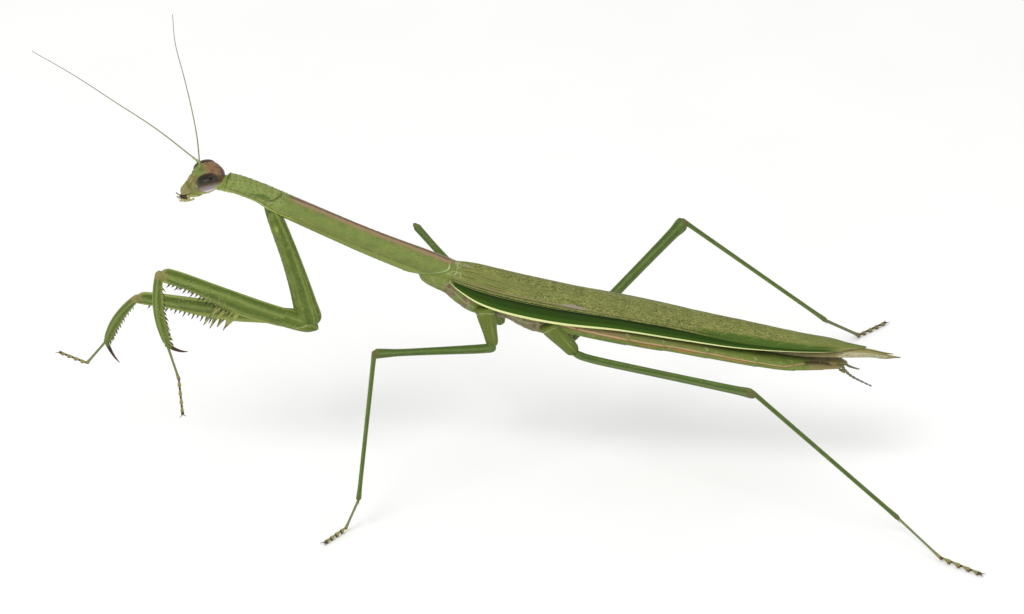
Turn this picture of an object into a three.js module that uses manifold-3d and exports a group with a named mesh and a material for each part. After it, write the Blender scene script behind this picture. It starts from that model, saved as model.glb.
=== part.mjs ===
// A praying mantis at life size, reaching forward while it stands on three legs, the fourth lifted.
// Millimetres, +Z up. The animal faces -Y and its left side is towards +X. While the parts are made,
// X is measured from the animal's middle plane and Z from the floor. The finished group is shifted
// so that the origin lies under the middle of its box.
import * as THREE from "three";
import { mergeVertices } from "three/addons/utils/BufferGeometryUtils.js";
import Module from "manifold-3d";

const wasm = await Module();
wasm.setup();

// ---- Driving dimensions ----

const gap = 0.3; // left between two solids that touch
const thinnest = 0.26; // half thickness of the finest feelers, claws and toes
const foreWingThickness = 0.5;
const hindWingThickness = 0.8; // folded like a fan

// Head: a wedge from the crown down to the mouth, with an eye on each side.
const crown = [0, -35.4, 43.2];
const mouth = [0, -40.8, 40.5];
const headFront = [0, -0.447, 0.894]; // square to the line from crown to mouth
// [share of the way from crown to mouth, half width, depth in front, depth behind]
const headSizes = [
  [0, 1.0, 0.75, 0.5],
  [0.1, 1.65, 1.45, 1.1],
  [0.22, 1.95, 1.85, 1.4],
  [0.42, 1.9, 1.9, 1.6],
  [0.6, 1.35, 1.5, 1.3],
  [0.8, 0.85, 0.95, 0.5],
  [1, 0.55, 0.5, 0.15],
];
const neckJoint = [0, -35.4, 42.0];
const headYaw = THREE.MathUtils.degToRad(9); // the face turned to the left
const headRoll = THREE.MathUtils.degToRad(-4); // and its right side lower
const eyeCentre = [2.0, -37.73, 42.62]; // before the head is turned
const eyeSize = [1.1, 1.42, 1.1]; // half sizes across, along and up
const eyeTilt = THREE.MathUtils.degToRad(14); // nose end of the eye turned down
// Mouthparts, as [sideways, forward, down] from the mouth.
const jaws = [[0, -2.3, 0.45], [0, 0, 0.35]];
const upperPalp = [[0.5, -1.0, 0.6], [0.6, 0.1, 0.8], [0.55, 0.8, -0.25]];
const lowerPalp = [[0.5, -1.6, 0.5], [0.8, -0.5, 0.95], [0.6, 0.5, 0.65]];
// Sizes below are [share of the length, half width, half depth].
const jawSizes = [
  [0, 0.55, 0.4],
  [0.5, 0.7, 0.42],
  [1, 0.45, 0.3],
];
const palpSizes = [
  [0, 0.32, 0.32],
  [1, thinnest, thinnest],
];
const antennaSizes = [
  [0, 0.34, 0.34],
  [0.05, thinnest, thinnest],
  [1, thinnest, thinnest],
];

// Antennae, each [base, middle, tip].
const antennae = {
  left: [[0.65, -38.3, 43.9], [2.6, -38.7, 57.7], [5.2, -40.4, 67.2]],
  right: [[-0.65, -38.5, 44.1], [-5.3, -48.3, 50.0], [-10.0, -59.6, 54.4]],
};

// Prothorax: path of its middle, front to back, and sizes along it.
const prothoraxPath = [
  [0, -34.9, 41.8],
  [0, -31.4, 40.3],
  [0, -27.9, 38.4],
  [0, -18.2, 33.75],
  [0, -8.3, 29.6],
];
// [share of the path, half width, height above, depth below]
const prothoraxSizes = [
  [0, 1.1, 1.25, 0.9],
  [0.1, 1.4, 1.2, 0.9],
  [0.25, 1.6, 1.22, 0.95],
  [0.45, 1.95, 1.35, 1.2],
  [0.56, 1.65, 1.45, 1.4],
  [0.66, 1.55, 1.52, 1.55],
  [0.75, 1.45, 1.56, 1.7],
  [0.86, 1.5, 1.58, 1.85],
  [0.92, 1.6, 1.6, 1.85],
  [1, 1.7, 1.5, 1.1],
];
const neckPath = [[0, -37.4, 41.5], [0, -34.4, 41.3]];
const neckRadius = 1.15;

// The two wing-bearing segments behind it.
const pterothoraxPath = [
  [0, -11.6, 29.7],
  [0, -8.7, 29.1],
  [0, -4.6, 27.3],
  [0, 0, 25.8],
  [0, 4.4, 24.3],
];
const pterothoraxSizes = [
  [0, 0.9, 0.4, 0.7],
  [0.12, 1.4, 0.9, 1.5],
  [0.25, 1.7, 1.2, 2.1],
  [0.33, 1.8, 1.25, 2.6],
  [0.45, 2.0, 1.25, 3.4],
  [0.75, 2.2, 1.25, 2.85],
  [0.9, 2.1, 1.3, 3.4],
  [1, 1.9, 1.3, 3.6],
];

// Abdomen: [Y, half width, Z of the back, Z of the belly]
const abdomenSizes = [
  [4.6, 2.3, 25.2, 22.0],
  [8.5, 3.0, 24.1, 21.1],
  [16, 3.4, 22.5, 19.65],
  [20.6, 3.35, 21.5, 18.9],
  [28, 3.25, 19.65, 17.45],
  [34, 2.95, 18.25, 16.4],
  [38.4, 2.3, 17.4, 16.25],
  [41.6, 1.2, 16.8, 16.2],
];
const abdomenRings = 8; // body rings that show as shallow steps
const ringDepth = 0.09;

// Wings, left one: [Y, ridge Z, X and Z of the fold, X and Z of the front edge]
const foreWingSizes = [
  [-7.8, 30.4, 1.5, 29.2, 1.75, 28.9],
  [-6.8, 30.55, 1.75, 28.9, 2.1, 27.9],
  [-4, 30.2, 2.1, 28.05, 2.6, 26.1],
  [0, 29.0, 2.65, 27.2, 3.15, 24.9],
  [6, 27.35, 2.95, 26.05, 3.4, 23.75],
  [13.5, 25.55, 3.0, 24.7, 3.45, 22.95],
  [20.6, 24.05, 2.8, 23.15, 3.25, 21.65],
  [28, 22.45, 2.45, 21.25, 2.8, 20.25],
  [35, 20.65, 2.05, 19.95, 2.25, 19.45],
  [40, 19.5, 1.45, 19.25, 1.65, 19.05],
  [44.5, 18.8, 0.3, 18.7, 0.4, 18.65],
];
const hindWingSizes = [
  [8, 25.8, 1.8, 25.0, 2.0, 24.7],
  [20.6, 23.1, 1.9, 22.3, 2.1, 21.9],
  [35, 19.65, 1.5, 19.0, 1.7, 18.7],
  [40.8, 18.6, 1.1, 18.3, 1.3, 18.1],
  [44.6, 18.1, 0.8, 17.95, 0.9, 17.85],
  [48.4, 17.75, 0.25, 17.7, 0.35, 17.65],
];
const foldAt = 0.65; // share of the wing's width where it folds down the side
const cercusSizes = [
  [0, 0.36, 0.36],
  [0.3, 0.4, 0.4],
  [1, thinnest, thinnest],
];

// Tail feelers, each [base, middle, tip].
const cerci = {
  left: [[0.85, 41.2, 17.2], [1.4, 42.4, 15.9], [2.2, 45.0, 14.6]],
  right: [[-0.85, 41.2, 17.2], [-1.3, 42.4, 15.4], [-2.4, 44.2, 14.2]],
};

// Grasping legs. Depths are measured in the plane in which the leg folds.
const graspingLegs = {
  left: {
    root: [1.75, -29.4, 37.9],
    elbow: [1.9, -25.45, 22.35],
    knee: [3.9, -43.65, 30.75],
    wrist: [4.5, -42.9, 21.0],
    claw: [4.5, -40.35, 20.1],
    heel: [4.9, -41.6, 16.3],
    toe: [5.5, -41.0, 11.6],
  },
  right: {
    root: [-1.75, -30.05, 37.9],
    elbow: [-1.2, -26.0, 21.55],
    knee: [-2.4, -47.2, 23.75],
    wrist: [-5.2, -51.7, 15.8],
    claw: [-4.35, -50.0, 13.1],
    heel: [-6.0, -54.4, 12.2],
    toe: [-8.7, -58.5, 12.1],
  },
};
const coxaBow = 0.9; // how far the middle of the fore coxa bends backward
const tibiaBow = 1.0; // and the fore tibia forward
const clawBow = 0.7;
// [share of the length, half width, depth on the outer edge, depth on the spined edge]
const foreCoxaSizes = [
  [0, 0.85, 0.95, 0.95],
  [0.15, 0.95, 1.05, 1.05],
  [0.5, 0.9, 1.15, 1.15],
  [0.8, 1.0, 1.5, 1.4],
  [0.92, 1.0, 1.85, 1.45],
  [1, 0.8, 1.65, 1.2],
];
const foreFemurSizes = [
  [0.16, 0.7, 1.15, 0.95],
  [0.28, 0.8, 1.25, 1.3],
  [0.42, 0.85, 1.25, 1.7],
  [0.52, 0.8, 1.25, 1.5],
  [0.64, 0.75, 1.2, 1.15],
  [0.78, 0.65, 1.22, 0.75],
  [0.9, 0.6, 1.25, 0.75],
  [1, 0.55, 1.1, 0.9],
];
const foreTibiaSizes = [
  [0, 0.4, 0.5, 0.45],
  [0.25, 0.42, 0.6, 0.55],
  [0.6, 0.42, 0.6, 0.6],
  [0.9, 0.36, 0.4, 0.5],
  [1, 0.3, 0.3, 0.4],
];
const clawSizes = [
  [0, 0.32, 0.36],
  [0.6, thinnest, thinnest],
  [1, 0.12, 0.12],
];
// The joint at the root of the femur, over a share of the femur's length.
const trochanterSizes = [
  [-0.04, 0.6, 0.7, 0.8],
  [0.06, 0.85, 1.1, 1.1],
  [0.145, 0.75, 1.15, 0.95],
];
// Rows of spines: where they stand along the limb, how far each row leans to its side, and how
// far its spines point towards the limb's end.
const femurSpines = { count: 10, from: 0.47, to: 0.93, length: 0.75, lean: -1, forward: 0.2 };
const outerSpines = { count: 4, from: 0.5, to: 0.86, length: 1.1, lean: 1, forward: 0.2 };
const longSpines = { count: 4, from: 0.4, to: 0.52, length: 2.1, lean: 0.2, forward: -0.1 };
const tibiaSpines = { count: 9, from: 0.25, to: 0.97, length: 0.95, lean: 0.6, forward: 0.75 };
const spineRadius = 0.2;

// Walking legs, hip to toe. The sag is how far a femur's middle bends down. The right middle leg
// is lifted in mid step.
const walkingLegs = {
  middle_left: {
    root: [2.0, -3.25, 24.8],
    hip: [2.6, -2.45, 20.0],
    knee: [11.1, -16.8, 23.9],
    ankle: [13.6, -18.9, 4.2],
    heel: [14.5, -20.4, 0.3],
    toe: [17.4, -22.9, 0.22],
    sag: 0.2,
  },
  middle_right: {
    root: [-2.0, -3.4, 24.5],
    hip: [-3.0, -1.4, 20.6],
    knee: [-13.4, -12.35, 28.3],
    ankle: [-27.3, -8.1, 14.8],
    heel: [-29.1, -6.3, 12.6],
    toe: [-31.5, -3.5, 10.1],
    sag: 0,
  },
  hind_left: {
    root: [2.0, 4.9, 22.8],
    hip: [1.7, 8.05, 18.6],
    knee: [15.8, 29.8, 21.4],
    ankle: [14.1, 48.2, 2.4],
    heel: [20.0, 53.2, 0.3],
    toe: [22.5, 58.0, 0.22],
    sag: 0.35,
  },
  hind_right: {
    root: [-2.0, 4.8, 22.6],
    hip: [-2.5, 7.5, 18.5],
    knee: [-24.0, 21.95, 23.45],
    ankle: [-29.6, 41.2, 5.55],
    heel: [-34.7, 46.1, 0.3],
    toe: [-38.1, 49.7, 0.22],
    sag: -0.1,
  },
};
// [share of the length, half width, half depth]
const coxaSizes = [
  [0, 0.85, 1.3],
  [0.3, 0.8, 1.15],
  [0.6, 0.72, 0.92],
  [0.85, 0.6, 0.74],
  [1, 0.5, 0.66],
];
const femurSizes = [
  [0, 0.44, 0.62],
  [0.12, 0.44, 0.62],
  [0.5, 0.4, 0.55],
  [0.9, 0.38, 0.52],
  [1, 0.46, 0.66],
];
const tibiaSizes = [
  [0, 0.3, 0.34],
  [0.1, 0.28, 0.3],
  [0.9, 0.27, 0.28],
  [1, 0.32, 0.36],
];
const heelJointSizes = [
  [0, thinnest, thinnest],
  [0.8, thinnest, thinnest],
  [1, 0.34, 0.34],
];
const toeJoints = 4; // short joints between heel and toe
const toeRadius = 0.42;
const toeClawLength = 1.15;
const floorHalfSize = 100;
const floorDepth = 10;

const colours = {
  green: 0x6f8f3c,
  leg: 0x5d7f3f,
  wing: 0x7c8a4c,
  paleWing: 0xb9b184,
  brown: 0x86704c,
  eye: 0x6d6a58,
  feeler: 0x8f9a6c,
  toe: 0xa39a5a,
};

// ---- Shapes ----

const sideways = new THREE.Vector3(1, 0, 0);
const backwards = new THREE.Vector3(0, 1, 0);
const vertical = new THREE.Vector3(0, 0, 1);
const point = (values) => new THREE.Vector3(...values);

// Value of a smooth curve from a to b, with its slopes at both ends.
function ease(a, b, slopeA, slopeB, s) {
  const square = s * s;
  const cube = square * s;
  const start = (2 * cube - 3 * square + 1) * a + (cube - 2 * square + s) * slopeA;
  return start + (3 * square - 2 * cube) * b + (cube - square) * slopeB;
}

// Smooth values at t of a list of stations [t, value, value, ...].
function valuesAt(stations, t) {
  const last = stations.length - 1;
  let i = 0;
  while (i < last - 1 && t > stations[i + 1][0]) i += 1;
  const from = stations[i];
  const to = stations[i + 1];
  const before = stations[Math.max(i - 1, 0)];
  const after = stations[Math.min(i + 2, last)];
  const span = to[0] - from[0];
  const s = THREE.MathUtils.clamp((t - from[0]) / span, 0, 1);
  return from.slice(1).map((value, column) => {
    const k = column + 1;
    const slopeFrom = ((to[k] - before[k]) / (to[0] - before[0])) * span;
    const slopeTo = ((after[k] - from[k]) / (after[0] - from[0])) * span;
    return ease(value, to[k], slopeFrom, slopeTo, s);
  });
}

// Volume within a closed mesh, negative where its faces point in.
function volume(geometry) {
  const position = geometry.attributes.position;
  const corner = [0, 1, 2].map(() => new THREE.Vector3());
  let total = 0;
  for (let i = 0; i < geometry.index.count; i += 3) {
    corner.forEach((v, k) => v.fromBufferAttribute(position, geometry.index.getX(i + k)));
    total += corner[0].dot(corner[1].cross(corner[2])) / 6;
  }
  return total;
}

// One closed mesh with shared vertices and its faces pointing out.
function closed(geometry) {
  geometry.deleteAttribute("normal");
  geometry.deleteAttribute("uv");
  const merged = mergeVertices(geometry, 1e-4);
  if (volume(merged) < 0) merged.index.array.reverse();
  merged.computeVertexNormals();
  return merged;
}

// A solid whose rings run along a path. Stations give half width, height above and depth below.
// With steps the rings are spread smoothly, closest at the ends. Without, there is one per station.
function follow(path, stations, options = {}) {
  const { up = vertical, sides = 8, round = [0.04, 0.04], fullness = 1 } = options;
  const steps = options.steps ?? stations.length - 1;
  const geometry = new THREE.CylinderGeometry(1, 1, 1, sides, steps);
  const position = geometry.attributes.position;
  const [first, last] = [stations[0][0], stations[stations.length - 1][0]];
  for (let i = 0; i < position.count; i += 1) {
    const [x, y, z] = [position.getX(i), position.getY(i), position.getZ(i)];
    const spread = (1 - Math.cos(Math.PI * (0.5 - y))) / 2;
    const own = stations[Math.round((0.5 - y) * steps)];
    const t = options.steps ? THREE.MathUtils.lerp(first, last, spread) : own[0];
    const share = (t - first) / (last - first);
    const [width, above, below = above] = valuesAt(stations, t);
    const nearStart = Math.min((share + 0.004) / round[0], 1);
    const nearEnd = Math.min((1.004 - share) / round[1], 1);
    const full = Math.sqrt(1 - (1 - nearStart) ** 2) * Math.sqrt(1 - (1 - nearEnd) ** 2);
    const along = path.getTangent(t);
    const side = along.clone().cross(up).normalize();
    const top = side.clone().cross(along);
    const place = path.getPoint(t);
    place.addScaledVector(side, Math.sign(x) * Math.abs(x) ** fullness * width * full);
    place.addScaledVector(top, Math.sign(z) * Math.abs(z) ** fullness * (z > 0 ? above : below) * full);
    position.setXYZ(i, place.x, place.y, place.z);
  }
  return closed(geometry);
}

const straight = (a, b) => new THREE.LineCurve3(a, b);
const bent = (a, b, c) => new THREE.QuadraticBezierCurve3(a, b, c);
const through = (points) => new THREE.CatmullRomCurve3(points.map(point), false, "catmullrom");

// A thorn with its base sunk a little into what it grows from.
function spine(base, direction, length, radius = spineRadius) {
  const geometry = new THREE.ConeGeometry(radius, length, 4);
  geometry.translate(0, length / 2 - radius, 0);
  const turn = new THREE.Quaternion().setFromUnitVectors(new THREE.Vector3(0, 1, 0), direction);
  geometry.applyQuaternion(turn);
  geometry.translate(base.x, base.y, base.z);
  return closed(geometry);
}

// The same solid with its surface moved outwards.
function grown(geometry, by = gap) {
  const copy = geometry.clone();
  const { position, normal } = copy.attributes;
  for (let i = 0; i < position.count; i += 1) {
    const x = position.getX(i) + normal.getX(i) * by;
    const y = position.getY(i) + normal.getY(i) * by;
    const z = position.getZ(i) + normal.getZ(i) * by;
    position.setXYZ(i, x, y, z);
  }
  return copy;
}

function toSolid(geometry) {
  const vertProperties = new Float32Array(geometry.attributes.position.array);
  const triVerts = new Uint32Array(geometry.index.array);
  return new wasm.Manifold(new wasm.Mesh({ numProp: 3, vertProperties, triVerts }));
}

function fromSolid(solid) {
  const mesh = solid.getMesh();
  const geometry = new THREE.BufferGeometry();
  geometry.setAttribute("position", new THREE.BufferAttribute(mesh.vertProperties, 3));
  geometry.setIndex(new THREE.BufferAttribute(mesh.triVerts, 1));
  geometry.computeVertexNormals();
  return geometry;
}

const join = (parts) => fromSolid(parts.map(toSolid).reduce((all, one) => all.add(one)));

// Takes the neighbours away from a solid, with a gap all round them.
function clear(geometry, ...neighbours) {
  const start = toSolid(geometry);
  return fromSolid(neighbours.reduce((left, one) => left.subtract(toSolid(grown(one))), start));
}

// Small flats where a foot meets the floor.
function onFloor(geometry) {
  const ground = new THREE.BoxGeometry(2 * floorHalfSize, 2 * floorHalfSize, floorDepth);
  ground.translate(0, 0, -floorDepth / 2);
  return fromSolid(toSolid(geometry).subtract(toSolid(closed(ground))));
}

function mirrored(geometry) {
  const copy = geometry.clone();
  copy.scale(-1, 1, 1);
  return closed(copy);
}

// ---- Head ----

// Turns a piece of the head about its joint with the neck.
function posed(geometry) {
  const turn = new THREE.Quaternion().setFromEuler(new THREE.Euler(0, headRoll, headYaw, "ZYX"));
  const [x, y, z] = neckJoint;
  return geometry.clone().translate(-x, -y, -z).applyQuaternion(turn).translate(x, y, z);
}

function makeHead() {
  const path = straight(point(crown), point(mouth));
  return follow(path, headSizes, { up: point(headFront), sides: 14, steps: 9, round: [0.08, 0.06] });
}

function makeEye() {
  const geometry = new THREE.SphereGeometry(1, 12, 8);
  geometry.scale(...eyeSize);
  geometry.rotateX(eyeTilt);
  geometry.translate(...eyeCentre);
  return closed(geometry);
}

function makeAntenna(points) {
  return follow(through(points), antennaSizes, { up: sideways, sides: 5, steps: 9 });
}

// Lip, jaws and the four palps, below the end of the face.
function makeMouthparts() {
  const tip = point(mouth);
  const place = ([x, forward, down], side) => new THREE.Vector3(side * x, -forward, -down).add(tip);
  const jawPath = straight(place(jaws[0], 1), place(jaws[1], 1));
  const parts = [follow(jawPath, jawSizes, { sides: 8, steps: 3, round: [0.15, 0.2] })];
  for (const side of [-1, 1]) {
    for (const palp of [upperPalp, lowerPalp]) {
      const path = bent(...palp.map((values) => place(values, side)));
      parts.push(follow(path, palpSizes, { sides: 4, steps: 3 }));
    }
  }
  return join(parts);
}

// ---- Trunk ----

function makePronotum() {
  return follow(through(prothoraxPath), prothoraxSizes, { sides: 12, steps: 15, round: [0.05, 0.02] });
}

function makeNeck() {
  const [front, back] = neckPath.map(point);
  const size = [
    [0, neckRadius, neckRadius],
    [1, neckRadius, neckRadius],
  ];
  return follow(straight(front, back), size, { sides: 8, steps: 2 });
}

function makePterothorax() {
  const options = { sides: 12, steps: 8, round: [0.05, 0.03] };
  return follow(through(pterothoraxPath), pterothoraxSizes, options);
}

// The abdomen's rings each widen a little towards the back and step in at the next.
function makeAbdomen() {
  const path = through(abdomenSizes.map(([y, , back, belly]) => [0, y, (back + belly) / 2]));
  const last = abdomenSizes.length - 1;
  const smooth = abdomenSizes.map(([, width, back, belly], i) => [i / last, width, (back - belly) / 2]);
  const steps = 3 * abdomenRings;
  const ringed = [];
  for (let k = 0; k <= steps; k += 1) {
    const [width, depth] = valuesAt(smooth, k / steps);
    const step = ((k % 3) - 1) * ringDepth;
    ringed.push([k / steps, width + step, depth + step]);
  }
  return follow(path, ringed, { sides: 10, steps, round: [0.02, 0.03], fullness: 0.85 });
}

// A wing's solid: a thin shell that lies over the back and folds down its side.
function makeWing(stations, thickness, across, along) {
  const geometry = new THREE.BoxGeometry(1, 1, 1, across, along, 1);
  const position = geometry.attributes.position;
  const [first, last] = [stations[0][0], stations[stations.length - 1][0]];
  for (let i = 0; i < position.count; i += 1) {
    const v = position.getX(i) + 0.5;
    const y = THREE.MathUtils.lerp(first, last, position.getY(i) + 0.5);
    const inner = 0.5 - position.getZ(i);
    const [ridge, foldX, foldZ, edgeX, edgeZ] = valuesAt(stations, y);
    const top = Math.min(v / foldAt, 1);
    const side = Math.max((v - foldAt) / (1 - foldAt), 0);
    const x = THREE.MathUtils.lerp(gap / 2, foldX, top) + (edgeX - foldX) * side;
    const z = ridge + (foldZ - ridge) * top * top + (edgeZ - foldZ) * side;
    const turn = THREE.MathUtils.smoothstep(v, 0.4 * foldAt, 1) * Math.min(edgeX / 2, 1);
    const inward = inner * thickness * turn;
    const downward = inner * thickness * (1 - 0.5 * turn);
    position.setXYZ(i, x - inward, y, z - downward);
  }
  return closed(geometry);
}

function makeCercus(points) {
  return follow(through(points), cercusSizes, { sides: 6, steps: 6, round: [0.08, 0.1] });
}

// ---- Legs ----

// Direction from a to b, square to the line from b to c and within their plane.
function squareTo(a, b, c) {
  const along = c.clone().sub(b).normalize();
  const towards = b.clone().sub(a);
  return towards.addScaledVector(along, -towards.dot(along)).normalize();
}

// A row of spines along a limb, long and short in turn.
function spineRow(path, sizes, outward, { count, from, to, length, lean, forward }) {
  const spines = [];
  for (let k = 0; k < count; k += 1) {
    const t = THREE.MathUtils.lerp(from, to, k / (count - 1));
    const [width, , depth] = valuesAt(sizes, t);
    const along = path.getTangent(t);
    const side = along.clone().cross(outward).normalize();
    const base = path.getPoint(t).addScaledVector(outward, depth * 0.8);
    base.addScaledVector(side, width * 0.45 * lean);
    const direction = outward.clone().addScaledVector(side, 0.5 * lean).addScaledVector(along, forward);
    const size = length * (k % 2 ? 0.8 : 1.05);
    spines.push(spine(base, direction.normalize(), size));
  }
  return spines;
}

// Toes: a long first joint to the heel, short joints beyond it and two claws.
function makeTarsus({ heel, toe }, start, onGround) {
  const parts = [follow(straight(start, heel), heelJointSizes, { sides: 6 })];
  const beads = [];
  for (let k = 0; k < toeJoints; k += 1) {
    beads.push([(k - 0.08) / toeJoints, thinnest, thinnest]);
    beads.push([(k + 0.84) / toeJoints, toeRadius * 0.85, toeRadius]);
  }
  parts.push(follow(straight(heel, toe), beads, { sides: 6 }));
  const along = toe.clone().sub(heel).normalize();
  const side = along.clone().cross(vertical).normalize();
  for (const lean of [-1, 1]) {
    const direction = along.clone().addScaledVector(side, 0.6 * lean).normalize();
    parts.push(spine(toe, direction, toeClawLength, thinnest));
  }
  const tarsus = join(parts);
  return onGround ? onFloor(tarsus) : tarsus;
}

function makeGraspingLeg(places) {
  const [root, elbow, knee, wrist, clawTip, heel, toe] = Object.values(places).map(point);
  const behind = squareTo(knee, elbow, root);
  const coxaMiddle = root.clone().lerp(elbow, 0.5).addScaledVector(behind, coxaBow);
  const coxaOptions = { up: behind, sides: 8, steps: 6, round: [0.05, 0.07] };
  const coxa = follow(bent(root, coxaMiddle, elbow), foreCoxaSizes, coxaOptions);

  // The femur's spined edge is the one on the inside of the knee's bend.
  const femurPath = straight(elbow, knee);
  const dorsal = squareTo(wrist, knee, elbow);
  const ventral = dorsal.clone().negate();
  const femurOptions = { up: dorsal, sides: 8, steps: 10, round: [0.05, 0.06] };
  const femur = join([
    follow(femurPath, foreFemurSizes, femurOptions),
    ...spineRow(femurPath, foreFemurSizes, ventral, femurSpines),
    ...spineRow(femurPath, foreFemurSizes, ventral, outerSpines),
    ...spineRow(femurPath, foreFemurSizes, ventral, longSpines),
  ]);
  const trochanterOptions = { up: dorsal, sides: 8, steps: 3, round: [0.3, 0.1] };
  const trochanter = follow(femurPath, trochanterSizes, trochanterOptions);

  const bend = squareTo(elbow, knee, wrist);
  const inner = bend.clone().negate();
  const tibiaMiddle = knee.clone().lerp(wrist, 0.5).addScaledVector(bend, tibiaBow);
  const tibiaPath = bent(knee, tibiaMiddle, wrist);
  const clawBend = wrist.clone().lerp(clawTip, 0.5);
  clawBend.addScaledVector(tibiaPath.getTangent(1), clawBow);
  const tibia = join([
    follow(tibiaPath, foreTibiaSizes, { up: bend, sides: 6, steps: 7, round: [0.05, 0.08] }),
    follow(bent(wrist, clawBend, clawTip), clawSizes, { up: sideways, sides: 5, steps: 4 }),
    ...spineRow(tibiaPath, foreTibiaSizes, inner, tibiaSpines),
  ]);
  const start = wrist.clone().lerp(heel, 0.05);
  return {
    coxa,
    trochanter: clear(trochanter, coxa, femur),
    femur,
    tibia: clear(tibia, femur),
    tarsus: clear(makeTarsus({ heel, toe }, start), tibia),
  };
}

function makeWalkingLeg({ sag, ...places }) {
  const [root, hip, knee, ankle, heel, toe] = Object.values(places).map(point);
  const out = squareTo(ankle, knee, hip);
  const coxaOptions = { up: backwards, sides: 8, steps: 4, round: [0.1, 0.12] };
  const coxa = follow(straight(root, hip), coxaSizes, coxaOptions);
  const femurOptions = { up: out, sides: 6, steps: 6, round: [0.02, 0.025] };
  const femurMiddle = hip.clone().lerp(knee, 0.5).addScaledVector(vertical, -sag);
  const femur = follow(bent(hip, femurMiddle, knee), femurSizes, femurOptions);
  const tibiaOptions = { up: out, sides: 6, steps: 5, round: [0.015, 0.015] };
  const tibia = follow(straight(knee, ankle), tibiaSizes, tibiaOptions);
  const tarsus = makeTarsus({ heel, toe }, ankle, heel.z < 1);
  return {
    coxa: clear(coxa, pterothorax, abdomen),
    femur: clear(femur, coxa),
    tibia: clear(tibia, femur),
    tarsus: clear(tarsus, tibia),
  };
}

// ---- Assembly ----

const mantis = new THREE.Group();

function add(name, geometry, color, roughness = 0.5) {
  const mesh = new THREE.Mesh(geometry, new THREE.MeshStandardMaterial({ color, roughness, metalness: 0 }));
  mesh.name = name;
  mantis.add(mesh);
}

const eyeLeft = posed(makeEye());
const eyeRight = posed(mirrored(makeEye()));
const head = clear(posed(makeHead()), eyeLeft, eyeRight);
add("head", head, colours.brown);
add("eye_left", eyeLeft, colours.eye, 0.25);
add("eye_right", eyeRight, colours.eye, 0.25);
add("mouthparts", clear(posed(makeMouthparts()), head), colours.brown);
for (const [side, points] of Object.entries(antennae)) {
  add(`antenna_${side}`, clear(makeAntenna(points), head, eyeLeft, eyeRight), colours.feeler);
}

const pronotum = makePronotum();
const pterothorax = makePterothorax();
const abdomen = makeAbdomen();
const foreWing = makeWing(foreWingSizes, foreWingThickness, 6, 14);
const hindWing = makeWing(hindWingSizes, hindWingThickness, 4, 8);
const wings = [foreWing, mirrored(foreWing), hindWing, mirrored(hindWing)];
add("neck", clear(makeNeck(), head, pronotum), colours.green);
add("pronotum", pronotum, colours.green);
add("pterothorax", clear(pterothorax, pronotum, wings[0], wings[1]), colours.green);
add("abdomen", abdomen, colours.green);
add("tegmen_left", wings[0], colours.wing);
add("tegmen_right", wings[1], colours.wing);
add("hindwing_left", wings[2], colours.paleWing);
add("hindwing_right", wings[3], colours.paleWing);
for (const [side, points] of Object.entries(cerci)) {
  add(`cercus_${side}`, clear(makeCercus(points), abdomen), colours.brown);
}

for (const [side, places] of Object.entries(graspingLegs)) {
  const leg = makeGraspingLeg(places);
  add(`fore_coxa_${side}`, clear(leg.coxa, pronotum), colours.leg);
  add(`fore_trochanter_${side}`, leg.trochanter, colours.leg);
  add(`fore_femur_${side}`, leg.femur, colours.leg);
  add(`fore_tibia_${side}`, leg.tibia, colours.leg);
  add(`fore_tarsus_${side}`, leg.tarsus, colours.toe);
}

for (const [name, places] of Object.entries(walkingLegs)) {
  const leg = makeWalkingLeg(places);
  add(`${name}_coxa`, leg.coxa, colours.leg);
  add(`${name}_femur`, leg.femur, colours.leg);
  add(`${name}_tibia`, leg.tibia, colours.leg);
  add(`${name}_tarsus`, leg.tarsus, colours.toe);
}

const box = new THREE.Box3().setFromObject(mantis);
const middle = box.getCenter(new THREE.Vector3());
mantis.position.set(-middle.x, -middle.y, 0);

export default mantis;
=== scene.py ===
from functools import partial
import bpy
import numpy as np
from mathutils import Matrix, Vector
from numpy import clip, cos, hypot, pi, radians, sin


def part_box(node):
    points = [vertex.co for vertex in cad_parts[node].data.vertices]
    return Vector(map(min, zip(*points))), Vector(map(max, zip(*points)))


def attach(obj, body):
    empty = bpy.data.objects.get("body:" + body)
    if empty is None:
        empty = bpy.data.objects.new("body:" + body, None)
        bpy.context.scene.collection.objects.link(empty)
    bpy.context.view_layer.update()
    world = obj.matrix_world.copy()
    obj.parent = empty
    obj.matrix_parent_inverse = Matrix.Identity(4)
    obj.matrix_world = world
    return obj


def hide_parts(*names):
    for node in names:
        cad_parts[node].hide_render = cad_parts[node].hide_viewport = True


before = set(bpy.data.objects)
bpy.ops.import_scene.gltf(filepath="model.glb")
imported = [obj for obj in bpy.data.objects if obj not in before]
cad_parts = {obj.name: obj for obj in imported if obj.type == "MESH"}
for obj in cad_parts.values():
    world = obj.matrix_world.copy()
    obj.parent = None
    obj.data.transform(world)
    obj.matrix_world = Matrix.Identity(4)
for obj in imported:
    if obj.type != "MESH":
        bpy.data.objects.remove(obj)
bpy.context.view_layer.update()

# Shapes are worked out in millimetres, with X from the animal's middle plane, and then moved.
mm = 0.001
gap = 0.3
wingEnd = 44.5
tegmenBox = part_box("tegmen_left")
shift = np.array([tegmenBox[0].x / mm - gap / 2, tegmenBox[1].y / mm - wingEnd, 0.0])
link = bpy.context.scene.collection.objects.link


def arr(values):
    return np.array(values, float)


up, sideways, backwards = np.eye(3)[[2, 0, 1]]


def unit(v):
    v = arr(v)
    return v / np.maximum(np.linalg.norm(v, axis=-1, keepdims=True), 1e-9)


def lerp(a, b, s):
    return a + (b - a) * s


def ramp(x, low, high):
    s = clip((x - low) / (high - low), 0, 1)
    return s * s * (3 - 2 * s)


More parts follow.
